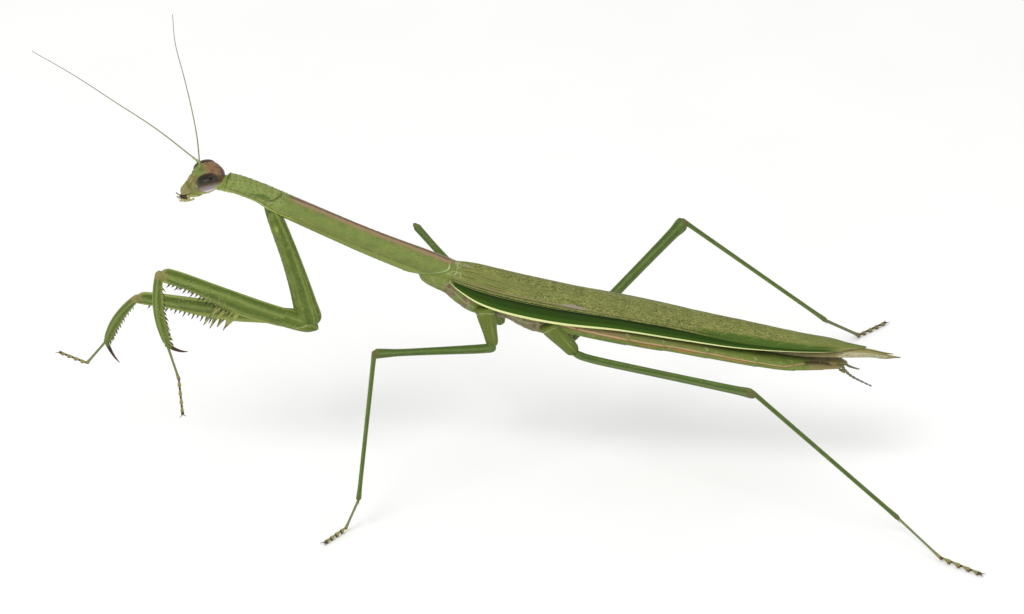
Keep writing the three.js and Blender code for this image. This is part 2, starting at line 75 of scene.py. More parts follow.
def bell(x, middle, width):
    return np.exp(-((x - middle) / width) ** 2)


def spread(count, first=0.0, last=1.0):
    return lerp(first, last, np.linspace(0, 1, count))


def circle(count):
    return np.linspace(0, 2 * pi, count, endpoint=False)


def hermite(a, b, slopeA, slopeB, s):
    return ((2 * s**3 - 3 * s**2 + 1) * a + (s**3 - 2 * s**2 + s) * slopeA
            + (3 * s**2 - 2 * s**3) * b + (s**3 - s**2) * slopeB)


def valuesAt(stations, t):
    # Smooth values at t of stations [t, value, value, ...].
    stations = arr(stations)
    t = np.atleast_1d(arr(t))
    last = len(stations) - 1
    i = clip(np.searchsorted(stations[:, 0], t, "left") - 1, 0, last - 1)
    start, end = stations[i], stations[i + 1]
    before, after = stations[np.maximum(i - 1, 0)], stations[np.minimum(i + 2, last)]
    span = end[:, :1] - start[:, :1]
    s = clip((t[:, None] - start[:, :1]) / span, 0, 1)
    slopeA = (end[:, 1:] - before[:, 1:]) / (end[:, :1] - before[:, :1]) * span
    slopeB = (after[:, 1:] - start[:, 1:]) / (after[:, :1] - start[:, :1]) * span
    return hermite(start[:, 1:], end[:, 1:], slopeA, slopeB, s)


def through(points):
    # A smooth path through points, for t from 0 to 1.
    points = arr(points)
    ends = np.vstack([2 * points[0] - points[1], points, 2 * points[-1] - points[-2]])

    def at(t):
        place = np.atleast_1d(arr(t)) * (len(points) - 1)
        i = clip(np.floor(place).astype(int), 0, len(points) - 2)
        a, b, c, d = ends[i], ends[i + 1], ends[i + 2], ends[i + 3]
        return hermite(b, c, 0.5 * (c - a), 0.5 * (d - b), (place - i)[:, None])
    return at


def straight(a, b, sag=0.0):
    # A straight path, whose first part may hang a little.
    a, b = arr(a), arr(b)

    def at(t):
        t = np.atleast_1d(arr(t))[:, None]
        line = a + (b - a) * t
        return line - up * sag * (1 - t) * (1 - np.exp(-t / 0.05)) if sag else line
    return at


def bent(a, b, c):
    a, b, c = arr(a), arr(b), arr(c)

    def at(t):
        t = np.atleast_1d(arr(t))[:, None]
        return a * (1 - t) ** 2 + 2 * b * t * (1 - t) + c * t * t
    return at


def frameAt(at, t, top):
    # Place, way along, way to the side and way up of a path.
    t = np.atleast_1d(arr(t))
    along = unit(at(t + 1e-3) - at(t - 1e-3))
    side = unit(np.cross(along, arr(top)))
    return at(t), along, side, np.cross(side, along)


def squareTo(a, b, c):
    # The way from b towards a, square to the line from b to c.
    along = unit(c - b)
    return unit(b - a - along * np.dot(b - a, along))


def sized(stations, size):
    return [[t, x * size, z * size] for t, x, z in stations]


class Piece:
    # Closed shells gathered into one mesh, with named marks on its points for the materials.
    def __init__(self, name):
        self.name, self.points, self.faces, self.marks = name, [], [], {}

    def shell(self, grid, **marks):
        # A closed tube from a grid of rings, with a point at the middle of each end.
        rings, around = grid.shape[:2]
        count = sum(map(len, self.points))
        points = np.vstack([grid.reshape(-1, 3), grid[0].mean(0), grid[-1].mean(0)])
        i, j = np.meshgrid(np.arange(rings - 1), np.arange(around), indexing="ij")
        k = (j + 1) % around
        quads = np.stack([i * around + j, i * around + k, (i + 1) * around + k, (i + 1) * around + j], -1)
        quads = quads.reshape(-1, 4)
        j, k, end = j[0], k[0], rings * around
        low, high = [0 * j + end, k, j], [0 * j + end + 1, j + end - around, k + end - around]
        a, b, c, d = (points - points.mean(0))[quads].transpose(1, 0, 2)
        way = -1 if (a * (np.cross(b, c) + np.cross(c, d))).sum() < 0 else 1
        for faces in (quads, np.stack(low, -1), np.stack(high, -1)):
            self.faces += (faces[:, ::way] + count).tolist()
        self.points.append(points)
        for key, values in marks.items():
            values = np.broadcast_to(values, (rings, around))
            values = np.concatenate([values.ravel(), [values[0].mean(), values[-1].mean()]])
            self.marks.setdefault(key, []).append((count, values))

    def tube(self, at, stations, rings, around, top, ends=(0.04, 0.04), fullness=1.0, detail=None, last=None,
             pose=None):
        # Rings along a path. Stations give half width, height above and depth below, or one radius. A detail
        # gives how far the surface stands out, and more marks.
        share = 0.5 * ((1 - cos(pi * spread(rings))) / 2) + 0.5 * spread(rings)
        t = lerp(stations[0][0], last or stations[-1][0], share)
        sizes = valuesAt(stations, t)
        wide, high, deep = sizes[:, [0, min(1, sizes.shape[1] - 1), -1]].T[..., None]
        place, along, side, above = (row[:, None] for row in frameAt(at, t, top))
        t, angle = np.meshgrid(t, circle(around), indexing="ij")
        near, far = (np.sqrt(1 - (1 - np.minimum(left, 1)) ** 2)
                     for left in ((share + 0.002) / ends[0], (1.002 - share) / ends[1]))
        full = (near * far)[:, None]
        x, z = (np.sign(way) * np.abs(way) ** fullness for way in (sin(angle), cos(angle)))
        x, z = wide * x, np.where(z > 0, high, deep) * z
        marks = {}
        if detail:
            # Degrees run from the top's middle, the same on both sides.
            deg = np.minimum(np.degrees(angle), 360 - np.degrees(angle))
            more, marks = detail(t, angle, deg, x, place[..., 1] + 0 * angle)
            size = hypot(x, z)
            x, z = x * (1 + more / size), z * (1 + more / size)
        grid = place + side * (x * full)[..., None] + above * (z * full)[..., None]
        self.shell(pose(grid) if pose else grid, along=t, angle=angle, **marks)

    def make(self, material, slot, *nodes):
        points = (np.vstack(self.points) + shift) * mm
        points[:, 2] = np.maximum(points[:, 2], 0)
        mesh = bpy.data.meshes.new(self.name)
        mesh.from_pydata(points, [], self.faces)
        mesh.validate()
        mesh.shade_smooth()
        for key, blocks in self.marks.items():
            values = np.zeros(len(points), np.float32)
            for start, block in blocks:
                values[start:start + len(block)] = block
            mesh.attributes.new(key, "FLOAT", "POINT").data.foreach_set("value", values)
        mesh.materials.append(material)
        made = bpy.data.objects.new(self.name, mesh)
        link(made)
        dressed(made, slot, *nodes)


def marked(marks):
    # The detail of a plain shell, with the same marks all over.
    return lambda *place: (0, marks)


def dressed(made, slot, *nodes):
    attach(made, "root")
    if nodes:
        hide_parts(*nodes)


def nodeMaker(tree):
    # Adds nodes, and gives back the output that is asked for.
    def node(kind, inputs=(), output=0, **settings):
        made = tree.nodes.new(kind)
        for key, value in settings.items():
            setattr(made, key, value)
        for key, value in dict(inputs).items():
            if isinstance(value, bpy.types.NodeSocket):
                tree.links.new(value, made.inputs[key])
            else:
                made.inputs[key].default_value = value
        return made.outputs[output]
    return node


def colour(text):
    values = [int(text[i:i + 2], 16) / 255 for i in (0, 2, 4)]
    return [v / 12.92 if v <= 0.04045 else ((v + 0.055) / 1.055) ** 2.4 for v in values] + [1]


class Surface:
    # A material and the few kinds of node that all of them use.
    def __init__(self, name, **sockets):
        self.material = bpy.data.materials.new(name)
        self.material.use_nodes = True
        self.node = nodeMaker(self.material.node_tree)
        self.shader = self.material.node_tree.nodes["Principled BSDF"]
        for key, value in sockets.items():
            self.shader.inputs[key.replace("_", " ")].default_value = value
        self.place = self.node("ShaderNodeTexCoord", output="Object")

    def mark(self, name):
        return self.node("ShaderNodeAttribute", output="Fac", attribute_name=name)

    def noise(self, scale, detail=2.0, place=None):
        inputs = {"Vector": place or self.place, "Scale": scale, "Detail": detail}
        return self.node("ShaderNodeTexNoise", inputs, "Fac")

    def cells(self, scale, place=None, feature="F1"):
        inputs = {"Vector": place or self.place, "Scale": scale}
        return self.node("ShaderNodeTexVoronoi", inputs, "Distance", feature=feature)

    def stretched(self, vector, *sizes):
        return self.node("ShaderNodeMapping", {"Vector": vector, "Scale": sizes})

    def along(self, share, turn, second="angle"):
        # A place on the surface: how far along the piece, and how far round or across it.
        return self.node("ShaderNodeCombineXYZ", {"X": self.times(self.mark("along"), share),
                                                  "Y": self.times(self.mark(second), turn)})

    def between(self, value, low, high, start=0.0, end=1.0):
        inputs = {"Value": value, 1: low, 2: high, 3: start, 4: end}
        return self.node("ShaderNodeMapRange", inputs, interpolation_type="SMOOTHSTEP")

    def sum(self, a, b, operation="ADD"):
        return self.node("ShaderNodeMath", {0: a, 1: b}, operation=operation)

    def times(self, a, b):
        return self.sum(a, b, "MULTIPLY")

    def uneven(self, noise, amount):
        return self.times(self.sum(noise, 0.5, "SUBTRACT"), amount)

    def mix(self, factor, under, over):
        # Sockets 6 and 7 of this node are its colours, and output 2 is the mixed colour.
        over = colour(over) if isinstance(over, str) else over
        return self.node("ShaderNodeMix", {0: factor, 6: under, 7: over}, 2, data_type="RGBA")

    def over(self, tone, value, low, high, text, amount=1.0):
        return self.mix(self.between(value, low, high, 0.0, amount), tone, text)

    def finish(self, tone, height=None, depth=0.00004, strength=0.5):
        links = self.material.node_tree.links
        links.new(tone, self.shader.inputs["Base Color"])
        if height:
            bump = self.node("ShaderNodeBump", {"Height": height, "Distance": depth, "Strength": strength})
            links.new(bump, self.shader.inputs["Normal"])
        return self.material


def skin(name, tones, overlays=(), mottle=420, grain=5200, streaks=None, specks=None, rough=0.52,
         strength=0.5):
    # Two tones mottled, a third in fine grain, then each mark's own tone, as strong and as ragged as it says.
    s = Surface(name, Roughness=rough, Specular_IOR_Level=0.22)
    tone = s.over(colour(tones[0]), s.noise(mottle, 3.0), 0.35, 0.65, tones[1])
    fine = s.noise(grain)
    tone = s.over(tone, fine, 0.5, 0.8, tones[2], 0.7)
    if streaks:
        tone = s.over(tone, s.noise(1.0, 2.0, s.along(*streaks[:2])), 0.5, 0.75, tones[2], streaks[2])
    ragged = s.sum(s.noise(1500), 0.5, "SUBTRACT")
    for mark, text, amount, broken in overlays:
        tone = s.over(tone, s.sum(s.mark(mark), s.times(ragged, broken)), 0.15, 0.85, text, amount)
    if specks:
        dot = s.between(s.cells(specks[0]), 0.34, 0.12, 0.0, specks[2])
        tone = s.mix(s.times(dot, s.between(s.noise(specks[0] / 4), 0.4, 0.6)), tone, specks[1])
    return s.finish(tone, fine, strength=strength)


def growthTree(name, label):
    # A tree that is given points, a whole number and a material.
    tree = bpy.data.node_groups.new(name, "GeometryNodeTree")
    for title, kind in (("Geometry", "Geometry"), (label, "Int"), ("Material", "Material")):
        tree.interface.new_socket(title, in_out="INPUT", socket_type="NodeSocket" + kind)
    tree.interface.new_socket("Geometry", in_out="OUTPUT", socket_type="NodeSocketGeometry")
    start, node = tree.nodes.new("NodeGroupInput").outputs, nodeMaker(tree)

    def given(title, kind="FLOAT"):
        return node("GeometryNodeInputNamedAttribute", {"Name": title}, "Attribute", data_type=kind)

    def close(geometry):
        real = node("GeometryNodeRealizeInstances", {"Geometry": geometry})
        done = node("GeometryNodeSetMaterial", {"Geometry": real, "Material": start["Material"]})
        tree.links.new(done, tree.nodes.new("NodeGroupOutput").inputs[0])
        return tree
    return node, given, start, close


thornShape = {"segments": 5, "tipRadius": 0.12, "bend": 0.9}


def thornTree():
    # A bent thorn on every point, along its way, as long and as thick as the point says.
    node, given, start, close = growthTree("thorns", "Sides")
    cone = node("GeometryNodeMeshCone", {
        "Vertices": start["Sides"], "Side Segments": thornShape["segments"],
        "Radius Top": thornShape["tipRadius"], "Radius Bottom": 1.0, "Depth": 1.0}, "Mesh")
    height = node("ShaderNodeSeparateXYZ", {0: node("GeometryNodeInputPosition")}, "Z")
    square = node("ShaderNodeMath", {0: height, 1: height}, operation="MULTIPLY")
    bend = node("ShaderNodeMath", {0: square, 1: thornShape["bend"]}, operation="MULTIPLY")
    offset = node("ShaderNodeCombineXYZ", {"X": bend})
    curved = node("GeometryNodeSetPosition", {"Geometry": cone, "Offset": offset})
    tipped = node("GeometryNodeStoreNamedAttribute", {"Geometry": curved, "Name": "tip", "Value": height},
                  data_type="FLOAT", domain="POINT")
    turn = "FunctionNodeAlignRotationToVector"
    aim = node(turn, {"Vector": given("way", "FLOAT_VECTOR")}, axis="Z")
    aim = node(turn, {"Rotation": aim, "Vector": given("curl", "FLOAT_VECTOR")}, axis="X", pivot_axis="Z")
    girth = given("girth")
    scale = node("ShaderNodeCombineXYZ", {"X": girth, "Y": girth, "Z": given("length")})
    return close(node("GeometryNodeInstanceOnPoints",
                      {"Points": start[0], "Instance": tipped, "Rotation": aim, "Scale": scale}))


def beadTree():
    # A low round bead on every point.
    node, given, start, close = growthTree("beads", "Rounds")
    ball = node("GeometryNodeMeshIcoSphere", {"Radius": 1.0, "Subdivisions": start["Rounds"]})
    return close(node("GeometryNodeInstanceOnPoints",
                      {"Points": start[0], "Instance": ball, "Scale": given("girth")}))


def veinTree():
    # A round rib along every chain of edges.
    node, given, start, close = growthTree("veins", "Sides")
    line = node("GeometryNodeMeshToCurve", {"Mesh": start[0]})
    ring = node("GeometryNodeCurvePrimitiveCircle", {"Resolution": start["Sides"], "Radius": 1.0})
    return close(node("GeometryNodeCurveToMesh",
                      {"Curve": line, "Profile Curve": ring, "Fill Caps": True, "Scale": given("girth")}))


def grown(name, tree, number, material, points, girths, lengths=(), ways=(), curls=(), edges=()):
    # Runs a node tree on points given in millimetres and keeps its result as a plain mesh.
    mesh = bpy.data.meshes.new(name)
    mesh.from_pydata(((arr(points) + shift) * mm).tolist(), edges, [])
    for key, rows, kind, field, scale in (
            ("way", ways, "FLOAT_VECTOR", "vector", 1), ("curl", curls, "FLOAT_VECTOR", "vector", 1),
            ("length", lengths, "FLOAT", "value", mm), ("girth", girths, "FLOAT", "value", mm)):
        if len(rows):
            values = (arr(rows) * scale).astype(np.float32).ravel()
            mesh.attributes.new(key, kind, "POINT").data.foreach_set(field, values)
    made = bpy.data.objects.new(name, mesh)
    link(made)
    modifier = made.modifiers.new("grow", "NODES")
    modifier.node_group = tree
    for item in tree.interface.items_tree:
        if item.in_out == "INPUT" and item.name != "Geometry":
            modifier[item.identifier] = material if item.name == "Material" else number
    bpy.context.view_layer.update()
    view = bpy.context.evaluated_depsgraph_get()
    plain = bpy.data.meshes.new_from_object(made.evaluated_get(view), depsgraph=view)
    made.modifiers.clear()
    made.data = plain
    places = np.empty(3 * len(plain.vertices), np.float32)
    plain.vertices.foreach_get("co", places)
    places[2::3] = np.maximum(places[2::3], 0)
    plain.vertices.foreach_set("co", places)
    bpy.data.meshes.remove(mesh)
    if not plain.materials:
        plain.materials.append(material)
    plain.shade_smooth()
    return made


thorns, beads, veins = thornTree(), beadTree(), veinTree()


class Thorns:
    # Gathers the places of a limb's thorns.
    def __init__(self):
        self.rows = []

    def add(self, point, way, curl, length, girth):
        way = unit(way)
        self.rows.append((arr(point), girth, length, way, unit(arr(curl) - way * np.dot(arr(curl), way))))

    def make(self, name, material, slot, sides=7):
        dressed(grown(name, thorns, sides, material, *zip(*self.rows)), slot)


print("helpers ready")

# The head's path runs from crown to mouth; its sizes are half width, and height before and behind.
head = {
    "crown": arr([0, -35.4, 43.2]), "mouth": arr([0, -40.8, 40.5]), "front": arr([0, -0.447, 0.894]),
    "sizes": [[0, 1.0, 0.88, 0.5], [0.1, 1.65, 1.58, 1.2], [0.22, 1.95, 1.95, 1.25], [0.42, 1.85, 2.12, 1.47],
              [0.6, 1.3, 1.75, 1.3], [0.8, 0.8, 1.12, 0.5], [0.92, 0.62, 0.8, 0.25], [1, 0.45, 0.5, 0.15]],
    "joint": arr([0, -35.4, 42.0]), "yaw": 9, "roll": -4,
    "eye": arr([2.0, -37.62, 42.76]), "eyeSize": arr([1.1, 1.46, 1.16]), "eyeTilt": 13,
    "rightEyeShift": arr([-0.1, 0.0, 0.1]), "eyeFlat": 0.2, "eyeUndercut": 0.22,
    # The dark spot's direction, and the ring round the eye: place, share of the eye's size, and width.
    "spot": [0.70, 0.37, 0.61], "ringPlace": -0.1, "ringShare": arr([1, 0.97, 0.93]), "ringWidth": 0.09,
    # Grooves that run back over the vertex: how far out, and how deep.
    "grooves": [(0.0, 0.05), (0.5, 0.07), (1.05, 0.08), (1.5, 0.05)],
}


def rotation(deg, axis):
    return Matrix.Rotation(radians(deg), 3, axis)


headTurn = arr(rotation(head["yaw"], "Z") @ rotation(head["roll"], "Y"))


def posed(points):
    return (points - head["joint"]) @ headTurn.T + head["joint"]


def headDetail(t, angle, deg, x, y):
    out, facing = np.abs(x), cos(angle)
    face = ramp(facing, -0.1, 0.25)
    more = -sum(depth * bell(out, place + 0.5 * (0.3 - t), 0.07) for place, depth in head["grooves"])
    more = more * ramp(t, 0.36, 0.22) * face
    # Sockets of the feelers, with the simple eyes behind them.
    socket = hypot(out - 0.64, (t - 0.365) * 6.3)
    more += face * (0.17 * bell(socket, 0.27, 0.08) - 0.1 * bell(socket, 0, 0.16))
    lens = np.minimum(hypot(x, (t - 0.315) * 6.3), hypot(out - 0.4, (t - 0.25) * 6.3))
    more += 0.12 * face * np.sqrt(clip(1 - (lens / 0.19) ** 2, 0, 1))
    # The shield below the feelers, then the clypeus and the lip.
    shieldTop = 0.44 + 0.03 * clip(out / 0.95, 0, 1) ** 2
    shield = ramp(out, 1.05, 0.9) * ramp(t, shieldTop - 0.01, shieldTop + 0.01) * ramp(t, 0.59, 0.575)
    cheek = bell(out, 0.98 - 0.9 * (t - 0.5), 0.08) * ramp(t, 0.48, 0.56) * ramp(t, 0.98, 0.9) * face
    more += face * (0.07 * shield - 0.03 * bell(out, 0, 0.05) * ramp(t, 0.4, 0.44) * ramp(t, 0.6, 0.56)
                    + 0.05 * bell(t, 0.575, 0.012) * ramp(out, 1.1, 0.9)
                    + 0.04 * bell(t, 0.67, 0.02) * ramp(out, 0.8, 0.6)
                    - 0.09 * (bell(t, 0.6, 0.011) + bell(t, 0.75, 0.011))) - 0.08 * cheek
    streak = 0.5 + 0.5 * sin(11 * out + 26 * t + 2.6 * sin(17 * t + 4 * out)) * sin(31 * t - 5 * out)
    nape = bell(angle, pi / 2, 0.35) + bell(angle, 1.5 * pi, 0.35)
    return more, {
        "vertex": ramp(t, 0.33, 0.24) * ramp(facing, -0.5, 0.05),
        "streak": streak * ramp(t, 0.36, 0.3) * ramp(facing, -0.4, 0.05),
        "band": face * ramp(out, 1.5, 1.0) * ramp(t, 0.3, 0.36) * ramp(t, 0.6, 0.5),
        "lens": face * ramp(lens, 0.2, 0.16),
        "rim": face * (bell(t, 0.6, 0.012) + bell(t, 0.75, 0.01) + bell(socket, 0.33, 0.06) + cheek),
        "lip": ramp(t, 0.78, 0.84) * ramp(facing, -0.4, 0.1),
        "throat": ramp(facing, -0.25, -0.6), "back": ramp(t, 0.06, 0.0) + nape * ramp(t, 0.2, 0.1),
    }


headSkin = skin("headSkin", ("91864f", "6f7640", "584c2c"), [
    ("vertex", "694036", 0.9, 1.2), ("streak", "8d7646", 0.65, 1.8), ("band", "6c823e", 0.65, 1.3),
    ("throat", "98a050", 0.85, 0.3), ("rim", "5a5230", 0.45, 0.5), ("back", "45321f", 0.8, 0.3),
    ("lip", "8e875a", 0.7, 0.4), ("lens", "8f7d52", 0.9, 0.0)],
    mottle=1100, grain=7000, streaks=(9, 5, 0.4), rough=0.45, strength=0.7)
piece = Piece("headShell")
piece.tube(straight(head["crown"], head["mouth"]), head["sizes"], 170, 224, head["front"], ends=(0.08, 0.06),
           detail=headDetail, pose=posed)
piece.make(headSkin, "head", "head")


def eyeSurface():
    s = Surface("eyeSurface", Roughness=0.36, Coat_Weight=0.08, Coat_Roughness=0.1, Specular_IOR_Level=0.12)
    height, fore = s.mark("height"), s.mark("fore")
    wave = s.uneven(s.noise(650), 0.2)
    level, tone = s.sum(height, wave), colour("d2ccce")
    for low, high, text in ((-0.92, -0.78, "8f8481"), (-0.7, -0.5, "756961"), (-0.52, -0.34, "4c4134"),
                            (-0.36, -0.1, "2f2d20"), (0.1, 0.6, "1c1d18")):
        tone = s.over(tone, level, low, high, text)
    bands = s.node("ShaderNodeCombineXYZ", {"X": s.times(height, 6.0), "Y": s.times(fore, 0.8)})
    tone = s.over(tone, s.noise(1.0, 2.0, bands), 0.5, 0.7, "7d6f62", 0.16)
    tone = s.over(tone, s.sum(fore, wave), 0.45, 0.98, "5f6644", 0.4)
    for mark, text in (("rim", "cdc4c8"), ("socket", "4b3a2c"), ("spot", "0a0908")):
        tone = s.mix(s.mark(mark), tone, text)
    return s.finish(tone, s.cells(22000, feature="SMOOTH_F1"), depth=0.00001, strength=0.35)


def onHead(points, side):
    # From the left eye's own directions to the head, and mirrored for the right eye.
    return (points @ arr(rotation(head["eyeTilt"], "X")).T + head["eye"]) * arr([side, 1, 1])


eyeSkin = eyeSurface()
for side, name in ((1, "left"), (-1, "right")):
    piece = Piece(name + "Eye")
    polar, turn = np.linspace(0.001, pi - 0.001, 96)[:, None], circle(128)[None]
    ball = np.stack([cos(polar) + 0 * turn, sin(polar) * cos(turn), sin(polar) * sin(turn)], -1)
    x, y, z = np.moveaxis(ball, -1, 0)
    # Flat along its top, and cut back below and behind.
    shape = ball.copy()
    shape[..., 2] *= 1 - head["eyeFlat"] * clip(z, 0, 1) ** 2
    shape[..., 2] *= 1 - head["eyeUndercut"] * ramp(y, 0.1, 0.9) * ramp(z, 0, -0.6)
    grid = onHead(shape * head["eyeSize"], side) + (head["rightEyeShift"] if side < 0 else 0)
    level, low = 0.866 * z - 0.5 * x, ramp(z, 0.3, -0.1)
    edge = ramp(-level, 0.86, 0.95) + ramp(x, 0.14, 0.04) * low + ramp(-y, 0.9, 0.97) * low
    spot = np.linalg.norm(ball - unit(head["spot"]), axis=-1)
    piece.shell(posed(grid), height=level, fore=-y, spot=ramp(spot, 0.19, 0.13), rim=clip(edge, 0, 1),
                socket=ramp(x, 0.1, 0.03) * (1 - low))
    # A narrow raised ring where the eye meets the head.
    ring, turn = circle(96), circle(12)
    hub = np.stack([0 * ring + head["ringPlace"], cos(ring), sin(ring)], -1)
    hub = hub * head["eyeSize"] * head["ringShare"]
    out = unit(hub * arr([0, 1, 1]))
    band = hub[:, None] + head["ringWidth"] * (cos(turn)[None, :, None] * out[:, None] * 0.5
                                               + sin(turn)[None, :, None] * sideways)
    upper = ramp(sin(ring), -0.35, 0.2)[:, None] + 0 * turn
    upper = np.concatenate([upper, upper[:1]])
    piece.shell(posed(onHead(np.concatenate([band, band[:1]]), side)), rim=1 - upper, socket=upper)
    piece.make(eyeSkin, "eye", "eye_" + name)
print("head and eyes ready")

# Places from the mouth: outwards, forwards and down.
mouthparts = {
    "labium": [[0, -2.7, 0.08], [0, -0.2, 0.2]],
    "labiumSizes": [[0, 0.5, 0.5, 0.24], [0.4, 0.7, 0.5, 0.25], [0.8, 0.55, 0.35, 0.17],
                    [1, 0.3, 0.25, 0.12]],
    "jaw": [[0.42, -1.1, 0.15], [0.6, -0.3, 0.3], [0.12, 0.15, 0.35]],
    "jawSizes": [[0, 0.28, 0.3], [0.4, 0.26, 0.3], [0.8, 0.16, 0.22], [1, 0.08, 0.1]],
    "palps": [([[0.5, -1.0, 0.5], [0.6, 0.0, 0.75], [0.55, 0.6, 0.0]], (0.15, 0.09), 5),
              ([[0.5, -1.6, 0.5], [0.75, -0.5, 0.85], [0.6, 0.3, 0.6]], (0.14, 0.08), 3)],
}


def beadedStations(count, radii, pinch=0.72):
    rows = []
    for k in range(count):
        radius = lerp(*radii, k / (count - 1))
        rows += [[(k + 0.02) / count, pinch * radius], [(k + 0.3) / count, 0.95 * radius],
                 [(k + 0.75) / count, radius], [(k + 0.97) / count, pinch * radius]]
    return rows


def mouthPath(path, side=1):
    return [head["mouth"] + arr([side, -1, -1]) * row for row in path]


mouthSkin = skin("mouthSkin", ("a09a58", "8e944c", "757040"), [
    ("dark", "2f211c", 0.95, 0.2), ("pale", "c4bb90", 0.7, 0.3)], mottle=1500, grain=9000)
piece = Piece("mouth")
# The labium below, the jaws at each side under the lip, and four jointed palps.
piece.tube(straight(*mouthPath(mouthparts["labium"])), mouthparts["labiumSizes"], 40, 32, up,
           ends=(0.3, 0.25), pose=posed, detail=marked({"pale": 0.2}))
for side in (1, -1):
    piece.tube(bent(*mouthPath(mouthparts["jaw"], side)), mouthparts["jawSizes"], 40, 24, up,
               ends=(0.2, 0.15), pose=posed, detail=lambda t, *place: (0, {"dark": ramp(t, 0.15, 0.4)}))
    for path, radii, joints in mouthparts["palps"]:
        piece.tube(bent(*mouthPath(path, side)), beadedStations(joints, radii), 22 * joints, 16, up,
                   ends=(0.03, 0.04), pose=posed, detail=lambda t, *place: (0, {
                       "dark": 0.6 * bell((t * joints) % 1, 0, 0.07) + ramp(t, 0.8, 0.88),
                       "pale": bell((t * joints) % 1, 0.5, 0.3) * 0.8}))
piece.make(mouthSkin, "mouth", "mouthparts")

antennae = {
    "left": [[0.65, -38.3, 43.9], [1.3, -38.45, 48.6], [2.1, -38.95, 53.3], [3.0, -39.6, 57.9],
             [3.9, -40.34, 62.6], [5.2, -40.4, 67.2]],
    "right": [[-0.65, -38.5, 44.1], [-3.0, -43.8, 47.4], [-5.3, -49.0, 49.9], [-7.6, -54.3, 52.45],
              [-10.0, -59.6, 54.5]],
    "radii": [[0, 0.18], [0.012, 0.18], [0.022, 0.12], [0.03, 0.135], [0.045, 0.1], [0.08, 0.095],
              [0.4, 0.07], [1, 0.04]],
    "joints": 86,
}


def feelerDetail(t, angle, deg, x, y):
    joint = (t * antennae["joints"]) % 1
    return -0.016 * (bell(joint, 0, 0.16) + bell(joint, 1, 0.16)), {
        "dark": (bell(joint, 0, 0.2) + bell(joint, 1, 0.2)) * ramp(t, 0.03, 0.2) + 0.5 * ramp(t, 0.2, 0.9),
        "root": ramp(t, 0.05, 0.02)}


feelerSkin = skin("feelerSkin", ("969c6c", "7f8760", "6e7552"), [
    ("dark", "56544a", 0.65, 0.1), ("root", "8a9c4c", 0.9, 0.1)], mottle=1500, grain=9000)
for name in ("left", "right"):
    piece = Piece(name + "Feeler")
    piece.tube(through(antennae[name]), antennae["radii"], 8 * antennae["joints"], 10, sideways,
               ends=(0.004, 0.004), detail=feelerDetail)
    piece.make(feelerSkin, "antenna", "antenna_" + name)
print("mouth and feelers ready")

trunk = {
    "neckPath": [[0, -37.1, 41.6], [0, -34.0, 41.2]],
    "neckSizes": [[0, 1.1, 1.2, 0.5], [0.5, 1.1, 1.2, 0.75], [1, 1.1, 1.15, 0.95]],
    "prothoraxPath": [[0, -35.4, 41.8], [0, -31.4, 40.3], [0, -27.9, 38.4], [0, -18.2, 33.75],
                      [0, -8.3, 29.6]],
    "prothoraxSizes": [[0, 1.1, 1.25, 0.9], [0.1, 1.4, 1.32, 0.9], [0.25, 1.6, 1.24, 0.95],
                       [0.45, 1.95, 1.35, 1.2], [0.56, 1.65, 1.52, 1.4], [0.66, 1.55, 1.57, 1.56],
                       [0.75, 1.45, 1.59, 1.74], [0.86, 1.5, 1.6, 1.9], [0.92, 1.6, 1.6, 1.92],
                       [1, 1.7, 1.5, 1.25]],
    "prothoraxEnd": 1.035,
    "thoraxPath": [[0, -11.6, 29.7], [0, -8.7, 29.1], [0, -4.6, 27.3], [0, 0, 25.8], [0, 4.4, 24.3],
                   [0, 7.8, 23.5]],
    "thoraxSizes": [[0, 0.9, 0.4, 1.1], [0.096, 1.35, 0.9, 1.87], [0.2, 1.45, 1.1, 2.27],
                    [0.264, 1.45, 1.1, 2.37], [0.36, 1.65, 1.1, 3.12], [0.44, 1.8, 1.1, 3.55],
                    [0.6, 2.05, 1.2, 3.0], [0.72, 2.05, 1.25, 3.55], [0.8, 1.95, 1.25, 3.6],
                    [0.9, 1.8, 1.0, 3.0], [1, 1.5, 0.8, 2.0]],
    # Seams between the plates: where each crosses the side, how it leans, and how far it reaches.
    "seams": [(-9.7, 0.6, 60, 112), (-7.7, -0.6, 45, 105), (-5.6, 1.3, 62, 140), (-3.6, 0.7, 70, 150),
              (-1.2, -0.6, 60, 125), (1.0, 1.1, 62, 150), (3.4, 0.6, 70, 150)],
}


def neckDetail(t, angle, deg, x, y):
    folds = sin(2 * pi * (6 * t + 0.25 * sin(2 * angle + 9 * t) + 0.12 * sin(5 * angle)))
    return 0.035 * folds, {"fold": 0.7 * ramp(-folds, 0.3, 1)}


